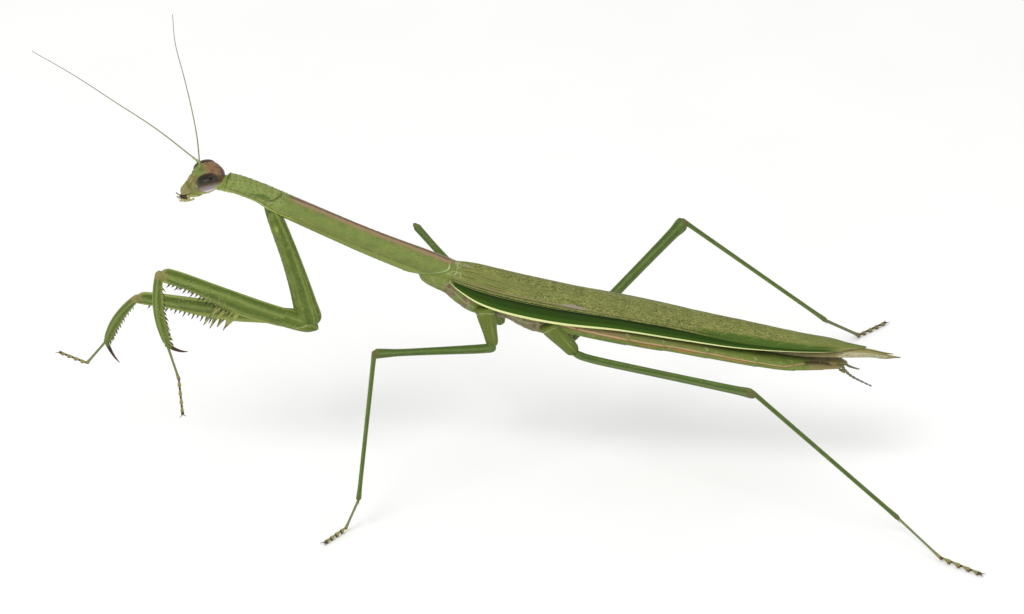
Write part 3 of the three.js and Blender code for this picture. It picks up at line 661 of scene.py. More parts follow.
def pronotumDetail(t, angle, deg, x, y):
    # The shield's hind edge leans forward down the sides, with the next plate behind it.
    hindEdge = y + 8.1 + 4.6 * clip((deg - 50) / 100, 0, 1) ** 1.5
    shield = ramp(hindEdge, 0.1, -0.1)
    behind = ramp(hindEdge, 0.0, 0.1) * ramp(deg, 45, 58)
    rim = bell(hindEdge, -0.1, 0.075)
    # A half-moon groove on each side above the legs' roots, with painted shade in the hollow in front of it.
    bow = y + 29.0 + 0.9 * (np.minimum(deg, 95) / 63) ** 1.5 + 1.1 * ramp(deg, 66, 92)
    groove = bell(bow, 0, 0.15) * ramp(deg, 98, 88)
    ahead = bell(bow, -0.9, 0.8) * bell(deg, 66, 20)
    # Small plates behind the shield: a ring on each side of a brown middle.
    ring = bell(hypot((deg - 64) / 13, (hindEdge - 0.75) / 0.32), 1, 0.3) * ramp(hindEdge, 0.0, 0.2)
    lateral = bell(deg, 102, 2.2) * ramp(y, -33.5, -32)
    front = ramp(y, -34.8, -35.05) * ramp(deg, 60, 40)
    wrinkles = sin(9 * y + 3 * sin(0.09 * deg)) * sin(0.16 * deg + 1.7 * sin(1.3 * y))
    more = (0.08 * bell(deg, 0, 8) * ramp(y, -31, -26) + 0.08 * bell(deg, 98, 5) * ramp(y, -9, -14)
            + 0.06 * rim - 0.12 * behind - 0.12 * groove - 0.05 * lateral
            + 0.035 * wrinkles * ramp(y, -27, -29) + 0.012 * wrinkles - 0.1 * ahead)
    return more, {
        "ridge": bell(deg, 0, 9) * ramp(y, -29.5, -27) * shield,
        "plate": ring, "saddle": ramp(hindEdge, 0.1, 0.3) * ramp(deg, 30, 14),
        "stripe": ramp(deg, 36, 14) * ramp(y, -28.8, -26.5) * shield,
        "pits": ramp(wrinkles, 0.1, 0.9) * ramp(y, -27.5, -29.5) * ramp(deg, 92, 76),
        "fore": ramp(y, -27.5, -29.5) * ramp(deg, 100, 90),
        "pale": bell(deg, 112, 6) * ramp(y, -25.5, -27),
        "lower": ramp(deg, 104, 114) * ramp(deg, 142, 130),
        "groove": clip(0.8 * groove + 0.4 * lateral + 0.5 * front, 0, 1), "ahead": ahead,
        "margin": rim * ramp(deg, 20, 50) + 0.4 * rim, "behind": behind,
        "under": ramp(deg, 122, 150), "flank": bell(deg, 62, 16),
    }


def thoraxDetail(t, angle, deg, x, y):
    seams = 0 * t
    for place, lean, high, low in trunk["seams"]:
        wavy = y - place - lean * (deg - 90) / 60 - 0.12 * sin(deg / 6)
        seams = seams + bell(wavy, 0, 0.1) * ramp(deg, high - 8, high) * ramp(deg, low + 8, low)
    lines = bell(deg, 66 + 5 * sin(1.4 * y), 2.2) + bell(deg, 124 + 6 * sin(1.1 * y), 3)
    folds = sin(5 * y + 1.6 * sin(deg / 13)) * sin(0.11 * deg + 2 * sin(0.9 * y))
    plates = clip(bell(y, -7.2, 1.0) + bell(y, -5.0, 0.5) + ramp(y, -4, -2.5), 0.1, 1)
    under = ramp(deg, 90, 106) * plates
    return -0.1 * clip(seams, 0, 1) - 0.05 * lines + 0.035 * folds * under, {
        "seam": clip(bell(seams, 0.5, 0.3) + 0.6 * lines, 0, 1), "under": under,
        "fold": under * ramp(-folds, 0.1, 0.8), "top": ramp(deg, 50, 30)}


neckSkin = skin("neckSkin", ("9fa85b", "8f9f4e", "b9b56c"), [("fold", "6f7a38", 0.6, 0.4)], mottle=1100)
piece = Piece("neckFolds")
piece.tube(straight(*trunk["neckPath"]), trunk["neckSizes"], 70, 96, up, ends=(0.1, 0.1), detail=neckDetail)
piece.make(neckSkin, "neck", "neck")

# The dark green in front of each half-moon groove is painted shade.
pronotumSkin = skin("pronotumSkin", ("747c3c", "667238", "858a4c"), [
    ("under", "77863c", 0.7, 0.3), ("flank", "70863e", 0.4, 0.9), ("fore", "8b9a54", 0.5, 2.0),
    ("pits", "4d6026", 0.6, 1.6), ("stripe", "96785e", 0.8, 1.0), ("saddle", "80685a", 0.8, 0.5),
    ("ridge", "54423a", 0.8, 0.9), ("lower", "879a40", 0.5, 0.6), ("pale", "a9ba58", 0.75, 0.5),
    ("ahead", "486022", 0.85, 0.5), ("groove", "3e4c1c", 0.85, 0.3), ("behind", "748038", 0.9, 0.2),
    ("plate", "a4a87c", 0.5, 0.8), ("margin", "a3c088", 0.85, 0.2)],
    mottle=800, streaks=(34, 4, 0.4), specks=(3300, "a3b068", 0.35))
pronotumAt = through(trunk["prothoraxPath"])
piece = Piece("pronotumShield")
piece.tube(pronotumAt, trunk["prothoraxSizes"], 440, 128, up, ends=(0.025, 0.02), detail=pronotumDetail,
           last=trunk["prothoraxEnd"])
piece.make(pronotumSkin, "pronotum", "pronotum")

# Beads in a row along each side's edge, and smaller ones scattered over the back.
tubercles = {"edge": 26, "back": 120, "edgeRadii": (0.06, 0.1), "backRadii": (0.03, 0.055)}


def onPronotum(t, deg, out):
    place, along, side, top = frameAt(pronotumAt, t, up)
    wide, high, deep = valuesAt(trunk["prothoraxSizes"], t).T
    angle = radians(deg)
    deep = np.where(cos(angle) > 0, high, deep)
    return place + side * ((wide + out) * sin(angle))[:, None] + top * ((deep + out) * cos(angle))[:, None]


rng = np.random.default_rng(7)
places, radii = [], []
for side in (1, -1):
    count = tubercles["edge"]
    t = spread(count, 0.01, 0.42) + rng.uniform(-0.004, 0.004, count)
    places.append(onPronotum(t, side * rng.uniform(90, 98, count), 0.06))
    radii.append(rng.uniform(*tubercles["edgeRadii"], count))
    count = tubercles["back"]
    t = rng.uniform(0.02, 0.95, count)
    places.append(onPronotum(t, side * rng.uniform(4, 75, count), -0.01))
    radii.append(rng.uniform(*tubercles["backRadii"], count))
beadSkin = skin("beadSkin", ("7d8648", "6c753c", "a0a868"), mottle=2000)
dressed(grown("tubercles", beads, 2, beadSkin, np.vstack(places), np.concatenate(radii)), "pronotum")

thoraxSkin = skin("thoraxSkin", ("6a7834", "78843e", "8a9450"), [
    ("top", "93855e", 0.6, 0.7), ("under", "7a6a4e", 0.8, 0.9), ("fold", "5a4836", 0.55, 0.6),
    ("seam", "b6ba8e", 0.5, 0.8)], mottle=900, specks=(1500, "9ea66c", 0.4))
piece = Piece("thoraxPlates")
piece.tube(through(trunk["thoraxPath"]), trunk["thoraxSizes"], 260, 128, up, ends=(0.05, 0.05),
           detail=thoraxDetail)
piece.make(thoraxSkin, "thorax", "pterothorax")

# Each row: Y, half width, height of the back, height of the belly. The tail has a plate below, a plate above
# and two styles: each one's bent path, sizes, rings, points around, rounded ends and how brown it is.
abdomen = {
    "rows": [[4.6, 2.3, 25.2, 22.0], [8.5, 3.0, 24.1, 21.1], [16, 3.4, 22.5, 19.75],
             [20.6, 3.35, 21.5, 19.05], [28, 3.25, 19.65, 17.65], [34, 2.95, 18.25, 16.64],
             [38.4, 2.3, 17.4, 16.57], [41.6, 1.2, 16.8, 16.3]],
    "rings": 8, "step": 0.1,
    "tail": [([0, 37.4, 17.3], [0, 40, 16.62], [0, 41.9, 16.37],
              [[0, 1.6, 0.4, 0.55], [0.5, 1.35, 0.35, 0.5], [0.85, 0.75, 0.25, 0.3], [1, 0.4, 0.2, 0.2]],
              50, 48, (0.1, 0.1), 1.0),
             ([0, 39.6, 17.0], [0, 41.2, 17.05], [0, 42.2, 16.6],
              [[0, 1.2, 0.3], [0.5, 0.8, 0.22], [1, 0.3, 0.12]], 40, 40, (0.1, 0.12), 0.9)]
            + [([side * 0.5, 41.1, 16.0], [side * 0.6, 41.5, 15.85], [side * 0.68, 41.9, 15.5],
                [[0, 0.16], [0.5, 0.17], [1, 0.08]], 24, 16, (0.1, 0.2), 0.4) for side in (1, -1)],
}


def abdomenDetail(t, angle, deg, x, y):
    ring = (t * abdomen["rings"] + 0.08 * cos(radians(2 * deg))) % 1
    level = 84 - 7 * ramp(y, 12, 30) - 42 * clip((y - 33.9) / 3.4, 0, 1)
    joint = bell(ring, 0.97, 0.045) + bell(ring, -0.03, 0.045)
    patch = 0.5 + 0.5 * sin(2 * pi * (ring - 0.2))
    tailward = ramp(y, 37.5, 36.5)
    more = (abdomen["step"] * (ring - 0.6) - 0.07 * bell(deg, level + 5, 2.5) + 0.06 * bell(deg, level, 2.5)
            - 0.05 * bell(deg, 118, 4))
    return more, {
        "line": bell(deg, level, 4.4) * tailward, "tail": ramp(y, 36, 38.5) * ramp(deg, 125, 105),
        "joint": joint * bell(deg, level - 22, 9), "below": bell(deg, level + 6, 3) * tailward,
        "spot": joint * bell(deg, level, 5), "above": ramp(deg, level, level - 8) * ramp(y, 30, 18),
        "front": ramp(deg, 92, 82) * ramp(y, 17, 10),
        "patch": bell(deg, level + 11, 7) * patch * ramp(y, 12, 16) * ramp(y, 34, 30),
        # Painted shade on the back near the tail, where it runs out from under the wings.
        "hollow": ramp(y, 36.2, 37.0) * ramp(y, 40.6, 39.6) * bell(deg, 31 + 3.0 * (y - 38.4) ** 2, 13),
    }


abdomenSkin = skin("abdomenSkin", ("6f7e38", "647334", "838f4a"), [
    ("above", "76763e", 0.6, 0.6), ("front", "86704f", 0.7, 0.6), ("patch", "a47a3a", 0.65, 0.7),
    ("below", "7c6434", 0.6, 0.8), ("joint", "a9ae80", 0.45, 0.9), ("line", "c09a76", 0.9, 0.6),
    ("spot", "5c3a26", 0.5, 0.8), ("tail", "8a7a52", 0.8, 0.8), ("hollow", "33271a", 0.8, 0.4)],
    mottle=900, streaks=(30, 6, 0.4), specks=(1400, "a5a873", 0.3))
last = len(abdomen["rows"]) - 1
piece = Piece("abdomenRings")
piece.tube(through([[0, y, (back + belly) / 2] for y, wide, back, belly in abdomen["rows"]]),
           [[i / last, wide, (back - belly) / 2] for i, (y, wide, back, belly) in enumerate(abdomen["rows"])],
           480, 144, up, ends=(0.02, 0.03), fullness=0.85, detail=abdomenDetail)
for a, b, c, sizes, rings, around, ends, brown in abdomen["tail"]:
    piece.tube(bent(a, b, c), sizes, rings, around, up, ends=ends, detail=marked({"tail": brown}))
piece.make(abdomenSkin, "abdomen", "abdomen")

cerci = {
    "left": [[0.85, 41.0, 17.2], [1.4, 42.5, 15.65], [2.2, 45.25, 14.5]],
    "right": [[-0.85, 41.0, 17.2], [-1.3, 42.3, 15.5], [-2.4, 43.9, 14.25]],
    "joints": 11, "radii": (0.24, 0.09),
    "hairs": 50, "hairPlaces": (0.2, 0.98), "hairOut": (0.19, 0.07), "hairLengths": (0.15, 0.28),
    "hairRadius": 0.01,
}


def cercusDetail(t, *place):
    joint = (t * cerci["joints"]) % 1
    return 0, {"dark": bell(joint, 0, 0.12) + bell(joint, 1, 0.12), "grey": ramp(t, 0.35, 0.75)}


cercusSkin = skin("cercusSkin", ("6f6c46", "625f42", "56503e"), [
    ("dark", "332c26", 0.85, 0.2), ("grey", "67645a", 0.8, 0.3)], mottle=1500)
hairSkin = skin("hairSkin", ("6c6448", "5a5340", "8a8160"), mottle=2000)
hairs = Thorns()
for name in ("left", "right"):
    piece, path = Piece(name + "Cercus"), through(cerci[name])
    piece.tube(path, beadedStations(cerci["joints"], cerci["radii"], 0.65), 18 * cerci["joints"], 20, up,
               ends=(0.03, 0.04), detail=cercusDetail)
    piece.make(cercusSkin, "cercus", "cercus_" + name)
    for k in range(cerci["hairs"]):
        t = rng.uniform(*cerci["hairPlaces"])
        place, along, side, top = (row[0] for row in frameAt(path, t, up))
        turn = rng.uniform(0, 2 * pi)
        out = side * sin(turn) + top * cos(turn)
        hairs.add(place + out * lerp(*cerci["hairOut"], t), out + 0.8 * along, along,
                  rng.uniform(*cerci["hairLengths"]), cerci["hairRadius"])
hairs.make("cercusHairs", hairSkin, "cercus", sides=4)
print("trunk ready")

# Each row: Y, height at the middle, then X and height at the fold and at the front edge.
wings = {
    "fore": [[-7.8, 30.55, 1.5, 29.2, 1.75, 28.9], [-6.8, 30.7, 1.75, 28.9, 2.1, 27.9],
             [-4, 30.25, 2.1, 28.05, 2.6, 26.1], [0, 29.0, 2.65, 27.2, 3.15, 24.9],
             [6, 27.35, 2.95, 26.05, 3.4, 23.75], [13.5, 25.42, 3.0, 24.65, 3.45, 22.95],
             [20.6, 23.94, 2.8, 23.1, 3.25, 21.65], [28, 22.53, 2.45, 21.25, 2.8, 20.25],
             [35, 20.85, 2.05, 19.97, 2.25, 19.45], [40, 19.78, 1.45, 19.38, 1.65, 19.12],
             [wingEnd, 19.0, 0.3, 18.88, 0.4, 18.8]],
    "hind": [[8, 25.8, 1.8, 25.0, 2.0, 24.7], [20.6, 23.1, 1.9, 22.3, 2.1, 21.9],
             [35, 19.7, 1.5, 19.0, 1.7, 18.7], [40.8, 18.95, 1.1, 18.5, 1.3, 18.22],
             [44.6, 18.52, 0.8, 18.22, 0.9, 18.06],
             [48.4, 17.9, 0.25, 17.88, 0.35, 17.83]],
    "foldAt": 0.65, "slant": 1.6, "foreThickness": 0.16, "hindThickness": 0.2,
    "foreInnerEdge": {"left": -0.07, "right": 0.02}, "foreLift": {"left": 0.06, "right": -0.06},
    "hindReach": {"left": 0.4, "right": -0.5}, "hindDrop": {"left": 0.3, "right": 0.0},
    # Long ribs: how many points of 120 each covers, where it starts, how far it drifts by Y, and its radius.
    "ribs": [(80, 0.65, 0.0, 20, 0.075), (60, 0.70, -0.02, 20, 0.045), (76, 0.615, -0.02, 30, 0.05)],
    "ribPoints": 120, "fan": 9, "branches": 12, "foreGrid": (520, 84), "hindGrid": (260, 48),
    # Where a vein of the fan and a branch start and end by Y from the root, and the step to the next one.
    "fanStart": (0.8, 0.7), "fanEnd": (13, 4.4), "branchStart": (5, 3.6), "branchEnd": (9, 3.6),
}
foldAt = wings["foldAt"]
wingRoot = wings["fore"][0][0]


def onWing(stations, y, v, inner=0.0, thickness=0.0):
    # A point of the left wing: v runs from the middle of the back over the fold to the front edge.
    y, v = np.broadcast_arrays(arr(y), arr(v))
    ridge, foldX, foldZ, edgeX, edgeZ = valuesAt(stations, y.ravel()).T.reshape(5, *y.shape)
    top, side = np.minimum(v / foldAt, 1), np.maximum((v - foldAt) / (1 - foldAt), 0)
    x = lerp(gap / 2, foldX, top) + (edgeX - foldX) * side
    z = ridge + (foldZ - ridge) * top * np.abs(top) + (edgeZ - foldZ) * side
    turn = ramp(v, 0.4 * foldAt, 1) * np.minimum(edgeX / 2, 1)
    wall = inner * thickness * (0.25 + 0.75 * np.minimum(edgeX, 1))
    # The tip's outer side is cut back, so that the wing ends in a point.
    cut = wings["slant"] * clip(v, 0, 1) ** 1.3 * ramp(y, stations[-2][0], stations[-1][0])
    return np.stack([x - wall * turn, y - cut, z - wall * (1 - 0.5 * turn)], -1)


def wingShell(name, stations, thickness, rows, columns, marksFor, innerEdge=0.0, lift=0.0, reach=0.0,
              drop=0.0):
    ys = np.linspace(stations[0][0], stations[-1][0], rows)[:, None]
    outer = lerp(innerEdge, 1.0, np.linspace(0, 1, columns))
    vs = np.concatenate([outer, outer[::-1]])[None]
    inner = np.repeat([0.0, 1.0], columns)[None]
    ys, vs, inner = ys + 0 * vs, vs + 0 * ys, inner + 0 * ys
    grid, marks = onWing(stations, ys, vs, inner, thickness), marksFor(ys, vs)
    endwards = ramp(ys, stations[-2][0], stations[-1][0])
    grid[..., 1] += reach * endwards
    grid[..., 2] += lift * ramp(vs, 0.25, 0) + marks.pop("height") * (1 - inner) - drop * endwards
    grid[..., 0] *= 1 if name.startswith("left") else -1
    piece = Piece(name)
    piece.shell(grid, along=ys, across=vs, inside=inner, **marks)
    return piece


def tegmenMarks(y, v):
    share = (y - wingRoot) / (wingEnd - wingRoot)
    # The costal field below the fold is green, painted much darker for the shade it lies in; darkest just
    # under the fold, less dark towards its lower edge.
    costal = ramp(v, foldAt + 0.015, foldAt + 0.045 + 0.16 * ramp(share, 0.5, 0.75)) * ramp(share, 0.0, 0.02)
    return {
        "costal": costal, "shade": costal * ramp(v, 0.82, foldAt + 0.02),
        "lower": ramp(v, 0.82, 0.92) * costal,
        "edge": ramp(v, 0.95, 0.965) * ramp(share, 0.95, 0.86),
        # Painted shade on the rear half of the wing's top, darkest next to the fold.
        "dusk": ramp(share, 0.48, 0.7) * ramp(v, foldAt - 0.3, foldAt - 0.02) * ramp(share, 1.0, 0.93),
        "frost": bell(v, foldAt - 0.36, 0.07) * ramp(share, 0.55, 0.66) * ramp(share, 0.97, 0.86),
        # The thin dark line just above the fold is painted shade along the fold's edge.
        "radius": bell(v, foldAt - 0.012, 0.014) * ramp(share, 0.8, 0.6),
        "beside": bell(v, foldAt - 0.05, 0.02) * ramp(share, 0.5, 0.3),
        "root": ramp(share, 0.035, 0.022) * ramp(v, 0.6, 0.52),
        "fan": ramp(share, 0.32, 0.04) * ramp(v, 0.12, 0.3) * ramp(v, 0.66, 0.62),
        "rear": ramp(share, 0.62, 0.98), "tip": ramp(share, 0.86, 0.98) * ramp(v, 0.2, 0.75),
        "pink": bell(y, 7.8, 1.7) * bell(v, 0.585, 0.045) + 0.6 * bell(y, -5.6, 0.8) * bell(v, 0.15, 0.08),
        "height": 0.05 * bell(v, foldAt, 0.02) - 0.05 * bell(v, foldAt + 0.05, 0.02),
    }


def hindMarks(y, v):
    return {"rear": ramp(y, 34, 42), "frill": ramp(v, 0.3, 0.6) * ramp(y, 40, 42) * ramp(y, 48.2, 46.5),
            "height": 0.03 * sin(v * 60)}


def wingSurface(name, tones, net, specks, edge):
    s = Surface(name, Roughness=0.55, Specular_IOR_Level=0.1)
    way = s.along(1.0, 9.0, "across")

    def calm(*least):
        # Full strength, but less near the root's fan and towards the rear.
        return s.times(*(s.between(s.mark(mark), 0.1, 0.9, 1.0, low)
                         for mark, low in zip(("fan", "rear"), least)))
    tone = s.over(colour(tones[0]), s.noise(0.35, 3.0, way), 0.35, 0.65, tones[1])
    tone = s.over(tone, s.mark("rear"), 0.1, 0.9, tones[2], 0.7)
    tone = s.over(tone, s.noise(1.0, 3.0, s.stretched(way, 0.5, 4.0, 1.0)), 0.42, 0.7, tones[3], 0.55)
    ray = s.between(s.noise(1.0, 3.0, s.stretched(way, 0.25, 6.0, 1.0)), 0.5, 0.62)
    tone = s.mix(s.times(s.between(s.mark("fan"), 0.1, 0.9, 0.0, 0.7), ray), tone, net[0])
    lines = s.cells(2.5, s.stretched(way, 1.0, 1.35, 1.0), "DISTANCE_TO_EDGE")
    broken = s.times(s.between(s.noise(1.6, 2.0, way), 0.34, 0.56), calm(0.2, 0.22))
    tone = s.mix(s.times(s.between(lines, 0.04, 0.16, 1.0, 0.0), s.times(broken, net[1])), tone, net[0])
    dots = s.between(s.cells(4.0, way), 0.34, 0.16)
    some = s.sum(s.times(s.between(s.noise(0.9, 2.0, way), 0.4, 0.56), calm(0.15, 0.35)), s.mark("frost"))
    tone = s.mix(s.times(dots, s.times(some, specks[1])), tone, specks[0])
    ragged = s.uneven(s.noise(0.8, 2.0, way), 0.3)

    def painted(tone, *overlays):
        for mark, text, amount, smooth in overlays:
            value = s.mark(mark) if smooth else s.sum(s.mark(mark), ragged)
            tone = s.over(tone, value, 0.15, 0.85, text, amount)
        return tone
    # Several of these tones paint shade: the darkness of the costal field, the dark green over the rear and
    # the dark line at the fold.
    tone = painted(tone, ("dusk", "3f5c1c", 0.85, False), ("beside", "8f7d62", 0.5, False),
                   ("radius", "3c361f", 0.75, False), ("pink", "a39294", 0.65, False),
                   ("costal", "243e08", 0.97, True), ("shade", "142006", 0.85, False),
                   ("lower", "3c5c12", 0.6, False), ("tip", "9d965c", 0.75, False),
                   ("edge", edge, 0.97, True))
    flecks = s.between(s.cells(6.5, way), 0.52, 0.3)
    tone = s.mix(s.times(s.between(s.mark("frill"), 0.1, 0.5), flecks), tone, "e2dfd0")
    tone = painted(tone, ("inside", "76804c", 0.6, True))
    plates = s.cells(1.1, s.stretched(way, 1.3, 0.7, 1.0), "DISTANCE_TO_EDGE")
    tone = s.over(tone, s.mark("root"), 0.2, 0.8, s.over(colour("a4a97c"), plates, 0.02, 0.08, "767f45"))
    height = s.sum(s.between(lines, 0.0, 0.14, 1.0, 0.0), s.times(s.noise(6000), 0.3))
    return s.finish(tone, height, depth=0.00005)


tegmenSkin = wingSurface("tegmenSkin", ("757b40", "858948", "68753a", "8f8d52"), ("3f461c", 0.85),
                         ("c4c586", 0.75), "e0e4a0")
hindSkin = wingSurface("hindSkin", ("8c8060", "837a54", "a79e60", "8d8658"), ("6f6a40", 0.6),
                       ("d8d2b8", 0.5), "b9b07c")
veinSkin = skin("veinSkin", ("80864a", "6e763e", "9a9e62"), mottle=900)
for side, name in ((1, "left"), (-1, "right")):
    lift = wings["foreLift"][name]
    piece = wingShell(name + "Tegmen", wings["fore"], wings["foreThickness"], *wings["foreGrid"],
                      tegmenMarks, wings["foreInnerEdge"][name], lift)
    piece.make(tegmenSkin, "fore_wing", "tegmen_" + name)
    piece = wingShell(name + "HindWing", wings["hind"], wings["hindThickness"], *wings["hindGrid"],
                      hindMarks, reach=wings["hindReach"][name], drop=wings["hindDrop"][name])
    piece.make(hindSkin, "hind_wing", "hindwing_" + name)

    # Main veins: long ribs beside the fold, and a fan of branches from the root to the middle line.
    long = spread(wings["ribPoints"], wingRoot + 0.6, wingEnd - 1.5)
    chains = [(long[:size], v + drift * ramp(long[:size], 0, by), thick, 0.012)
              for size, v, drift, by, thick in wings["ribs"]]
    for k in range(wings["fan"]):
        start, end = (wingRoot + place + step * k for place, step in (wings["fanStart"], wings["fanEnd"]))
        y = spread(70, start, min(end, wingEnd - 3))
        s = (y - y[0]) / (end - start)
        chains.append((y, lerp(0.6 - 0.045 * k * (1 - s), 0.03, s ** 1.35), 0.05, 0.02))
    for k in range(wings["branches"]):
        start, end = (wingRoot + place + step * k
                      for place, step in (wings["branchStart"], wings["branchEnd"]))
        chains.append((spread(40, start, end), 0.6 - 0.42 * spread(40), 0.028, 0.02))
    points, edges, girths = [], [], []
    for y, v, thick, thin in chains:
        line = onWing(wings["fore"], y, v)
        line[:, 2] += lift * ramp(v, 0.25, 0) - 0.35 * thick
        edges += [(len(points) + i, len(points) + i + 1) for i in range(len(y) - 1)]
        points += list(line * arr([side, 1, 1]))
        girths += list(lerp(thick, thin, spread(len(y))))
    dressed(grown(name + "Veins", veins, 6, veinSkin, points, girths, edges=edges), "fore_wing")
print("wings ready")

# Each grasping leg: root, elbow, knee, wrist, tip of the shin's claw, heel and toe.
graspingLegs = {
    "left": [[1.75, -29.4, 37.9], [1.9, -25.22, 22.35], [3.9, -43.55, 30.75], [4.5, -42.9, 21.0],
             [4.5, -40.35, 20.1], [4.9, -41.6, 16.3], [5.5, -41.25, 11.6]],
    "right": [[-1.75, -30.05, 37.9], [-1.2, -26.0, 21.55], [-2.4, -47.2, 23.75], [-5.2, -51.7, 15.8],
              [-4.35, -50.0, 13.1], [-6.0, -54.4, 12.05], [-8.7, -58.1, 11.95]],
}
grasping = {
    "coxaBow": 0.9, "tibiaBow": {"left": 1.24, "right": 1.0}, "clawBow": 0.7,
    "deeper": {"left": 0.0, "right": 0.4}, "belly": {"left": (122, 145), "right": (88, 118)},
    "coxa": [[0, 0.6, 0.55, 0.9], [0.13, 0.82, 0.82, 1.13], [0.3, 0.88, 1.0, 1.2], [0.5, 0.9, 1.15, 1.15],
             [0.8, 1.0, 1.5, 1.16], [0.9, 1.0, 1.7, 1.18], [1, 0.8, 1.68, 1.0]],
    "trochanter": [[-0.055, 0.65, 0.95, 0.3], [0.0, 0.9, 1.25, 0.72], [0.06, 0.88, 1.42, 0.98],
                   [0.14, 0.8, 1.33, 1.15], [0.2, 0.75, 1.2, 1.18]],
    "femur": [[0.13, 0.68, 1.25, 1.0], [0.16, 0.7, 1.24, 1.24], [0.28, 0.8, 1.14, 1.48],
              [0.42, 0.85, 1.12, 1.66], [0.52, 0.8, 1.15, 1.46], [0.64, 0.75, 1.18, 1.15],
              [0.78, 0.65, 1.25, 0.75], [0.9, 0.6, 1.25, 0.75], [1, 0.55, 1.1, 0.9]],
    "tibia": [[-0.05, 0.4, 0.5, 0.4], [0, 0.42, 0.52, 0.45], [0.25, 0.42, 0.6, 0.6], [0.6, 0.42, 0.58, 0.7],
              [0.9, 0.36, 0.4, 0.6], [1, 0.3, 0.3, 0.45]],
    "kneeLobe": [[0, 0.2, 0.42], [0.6, 0.22, 0.46], [1, 0.14, 0.3]],
    "lobeSide": 0.34, "lobeBack": 0.1, "lobeReach": (-0.9, 0.3), "lobeBelow": 0.1,
    "claw": [[-0.08, 0.3, 0.36], [0.1, 0.27, 0.32], [0.5, 0.17, 0.19], [0.85, 0.08, 0.09], [1, 0.03, 0.03]],
    # Rows of spines: count, first and last place, length, lean, how far forward, and radius. A row stands at
    # a share of the limb's depth and half width.
    "spineDepth": 0.86, "spineSide": 0.45, "spineLean": 0.3,
    "coxaSpines": [(9, 0.15, 0.8, 0.26, 0.4, 0.3, 0.06)],
    "femurSpines": [(17, 0.5, 0.92, 0.85, -1, 0.2, 0.16, 0.25, 0.45), (5, 0.52, 0.84, 0.8, 1, 0.2, 0.15)],
    "longSpines": [(4, 0.45, 0.57, 2.5, 0.2, 0.15, 0.36)],
    "tibiaSpines": [(12, 0.2, 0.97, 0.7, 0.7, 0.9, 0.14), (9, 0.45, 0.97, 0.6, -0.7, 0.9, 0.12)],
}
legSkin = skin("legSkin", ("64732d", "576726", "7a853c"), [
    ("light", "839350", 0.45, 1.0), ("darker", "42591c", 0.65, 0.9), ("belly", "8a963e", 0.75, 0.5),
    ("rim", "93a052", 0.7, 0.4), ("knee", "8d7f50", 0.75, 1.0), ("seam", "a8ae72", 0.6, 0.6),
    ("dark", "40301f", 0.85, 0.4), ("joint", "8f9848", 0.8, 0.6), ("claw", "3a2528", 0.95, 0.2)],
    mottle=700, streaks=(24, 4, 0.45), specks=(2600, "a8b070", 0.4))


def thornSurface(name, root, middle, low, high):
    s = Surface(name, Roughness=0.4, Specular_IOR_Level=0.3)
    tip = s.mark("tip")
    tone = s.over(colour(root), tip, 0.0, 0.45, middle)
    tone = s.over(tone, s.sum(tip, s.uneven(s.noise(2500), 0.3)), low, high, "231816")
    return s.finish(tone, s.noise(6000), depth=0.00002)


thornSkin = thornSurface("thornSkin", "78803c", "5e5238", 0.12, 0.45)
longThornSkin = thornSurface("longThornSkin", "98a050", "8f9048", 0.7, 0.92)


def limbMarks(t, deg, **more):
    # Lengthwise bands: a light one along the middle of each side between two darker ones.
    sway = 5 * sin(9 * t)
    return {"light": bell(deg, 70 + sway, 12),
            "darker": bell(deg, 36 + sway, 15) + 0.8 * bell(deg, 104, 14),
            "belly": ramp(deg, 122, 145), "rim": bell(deg, 8, 10), **more}


def femurDetail(belly, t, angle, deg, x, y):
    teeth = 0.5 + 0.5 * sin(2 * pi * 15 * (t - 0.46) / 0.47)
    more = -0.05 * bell(deg, 50, 7) - 0.05 * bell(deg, 95, 7) + 0.04 * bell(deg, 130, 6)
    return more, limbMarks(
        t, deg, belly=ramp(deg, *belly),
        knee=0.9 * ramp(t + 0.012 * sin(2 * angle), 0.93, 0.985),
        joint=ramp(t, 0.9, 0.95) * ramp(deg, 100, 130), seam=bell(deg, 125, 4) * ramp(t, 0.3, 0.4) * 0.6,
        dark=0.8 * bell(deg, 168, 16) * teeth * ramp(t, 0.44, 0.5) * ramp(t, 0.88, 0.78))


def coxaDetail(t, angle, deg, x, y):
    more = 0.05 * bell(deg, 28, 6) - 0.05 * bell(deg, 75, 10) + 0.05 * bell(deg, 150, 6)
    return more, limbMarks(
        t, deg, belly=0.3 * ramp(deg, 122, 145), knee=0.3 * ramp(t, 0.92, 1.0),
        light=bell(deg, 64, 5) + bell(deg, 46, 4) * ramp(t, 0.4, 0.6) + 0.4 * bell(deg, 118, 15),
        darker=bell(deg, 34, 9) + 0.8 * bell(deg, 92, 20),
        seam=bell(deg, 28, 4) * 0.5 + bell(deg, 150, 4) * 0.35,
        joint=0.3 * ramp(t, 0.12, 0.02) + bell(t, 0.13, 0.03) * bell(deg, 112, 16))


def trochanterDetail(t, angle, deg, x, y):
    more, marks = coxaDetail(t, angle, deg, x, y)
    fork = bell(t, 0.03 + 0.0011 * np.abs(deg - 75), 0.008) * ramp(deg, 30, 45) * ramp(deg, 160, 140)
    marks.update(joint=0.35 * bell(t, 0.03, 0.05) * bell(deg, 90, 35), seam=0.8 * fork)
    return more - 0.06 * fork, marks


def tibiaDetail(t, angle, deg, x, y):
    return 0.03 * cos(6 * angle), limbMarks(t, deg, knee=ramp(t, 0.1, 0.02) + 0.5 * ramp(t, 0.88, 1.0))


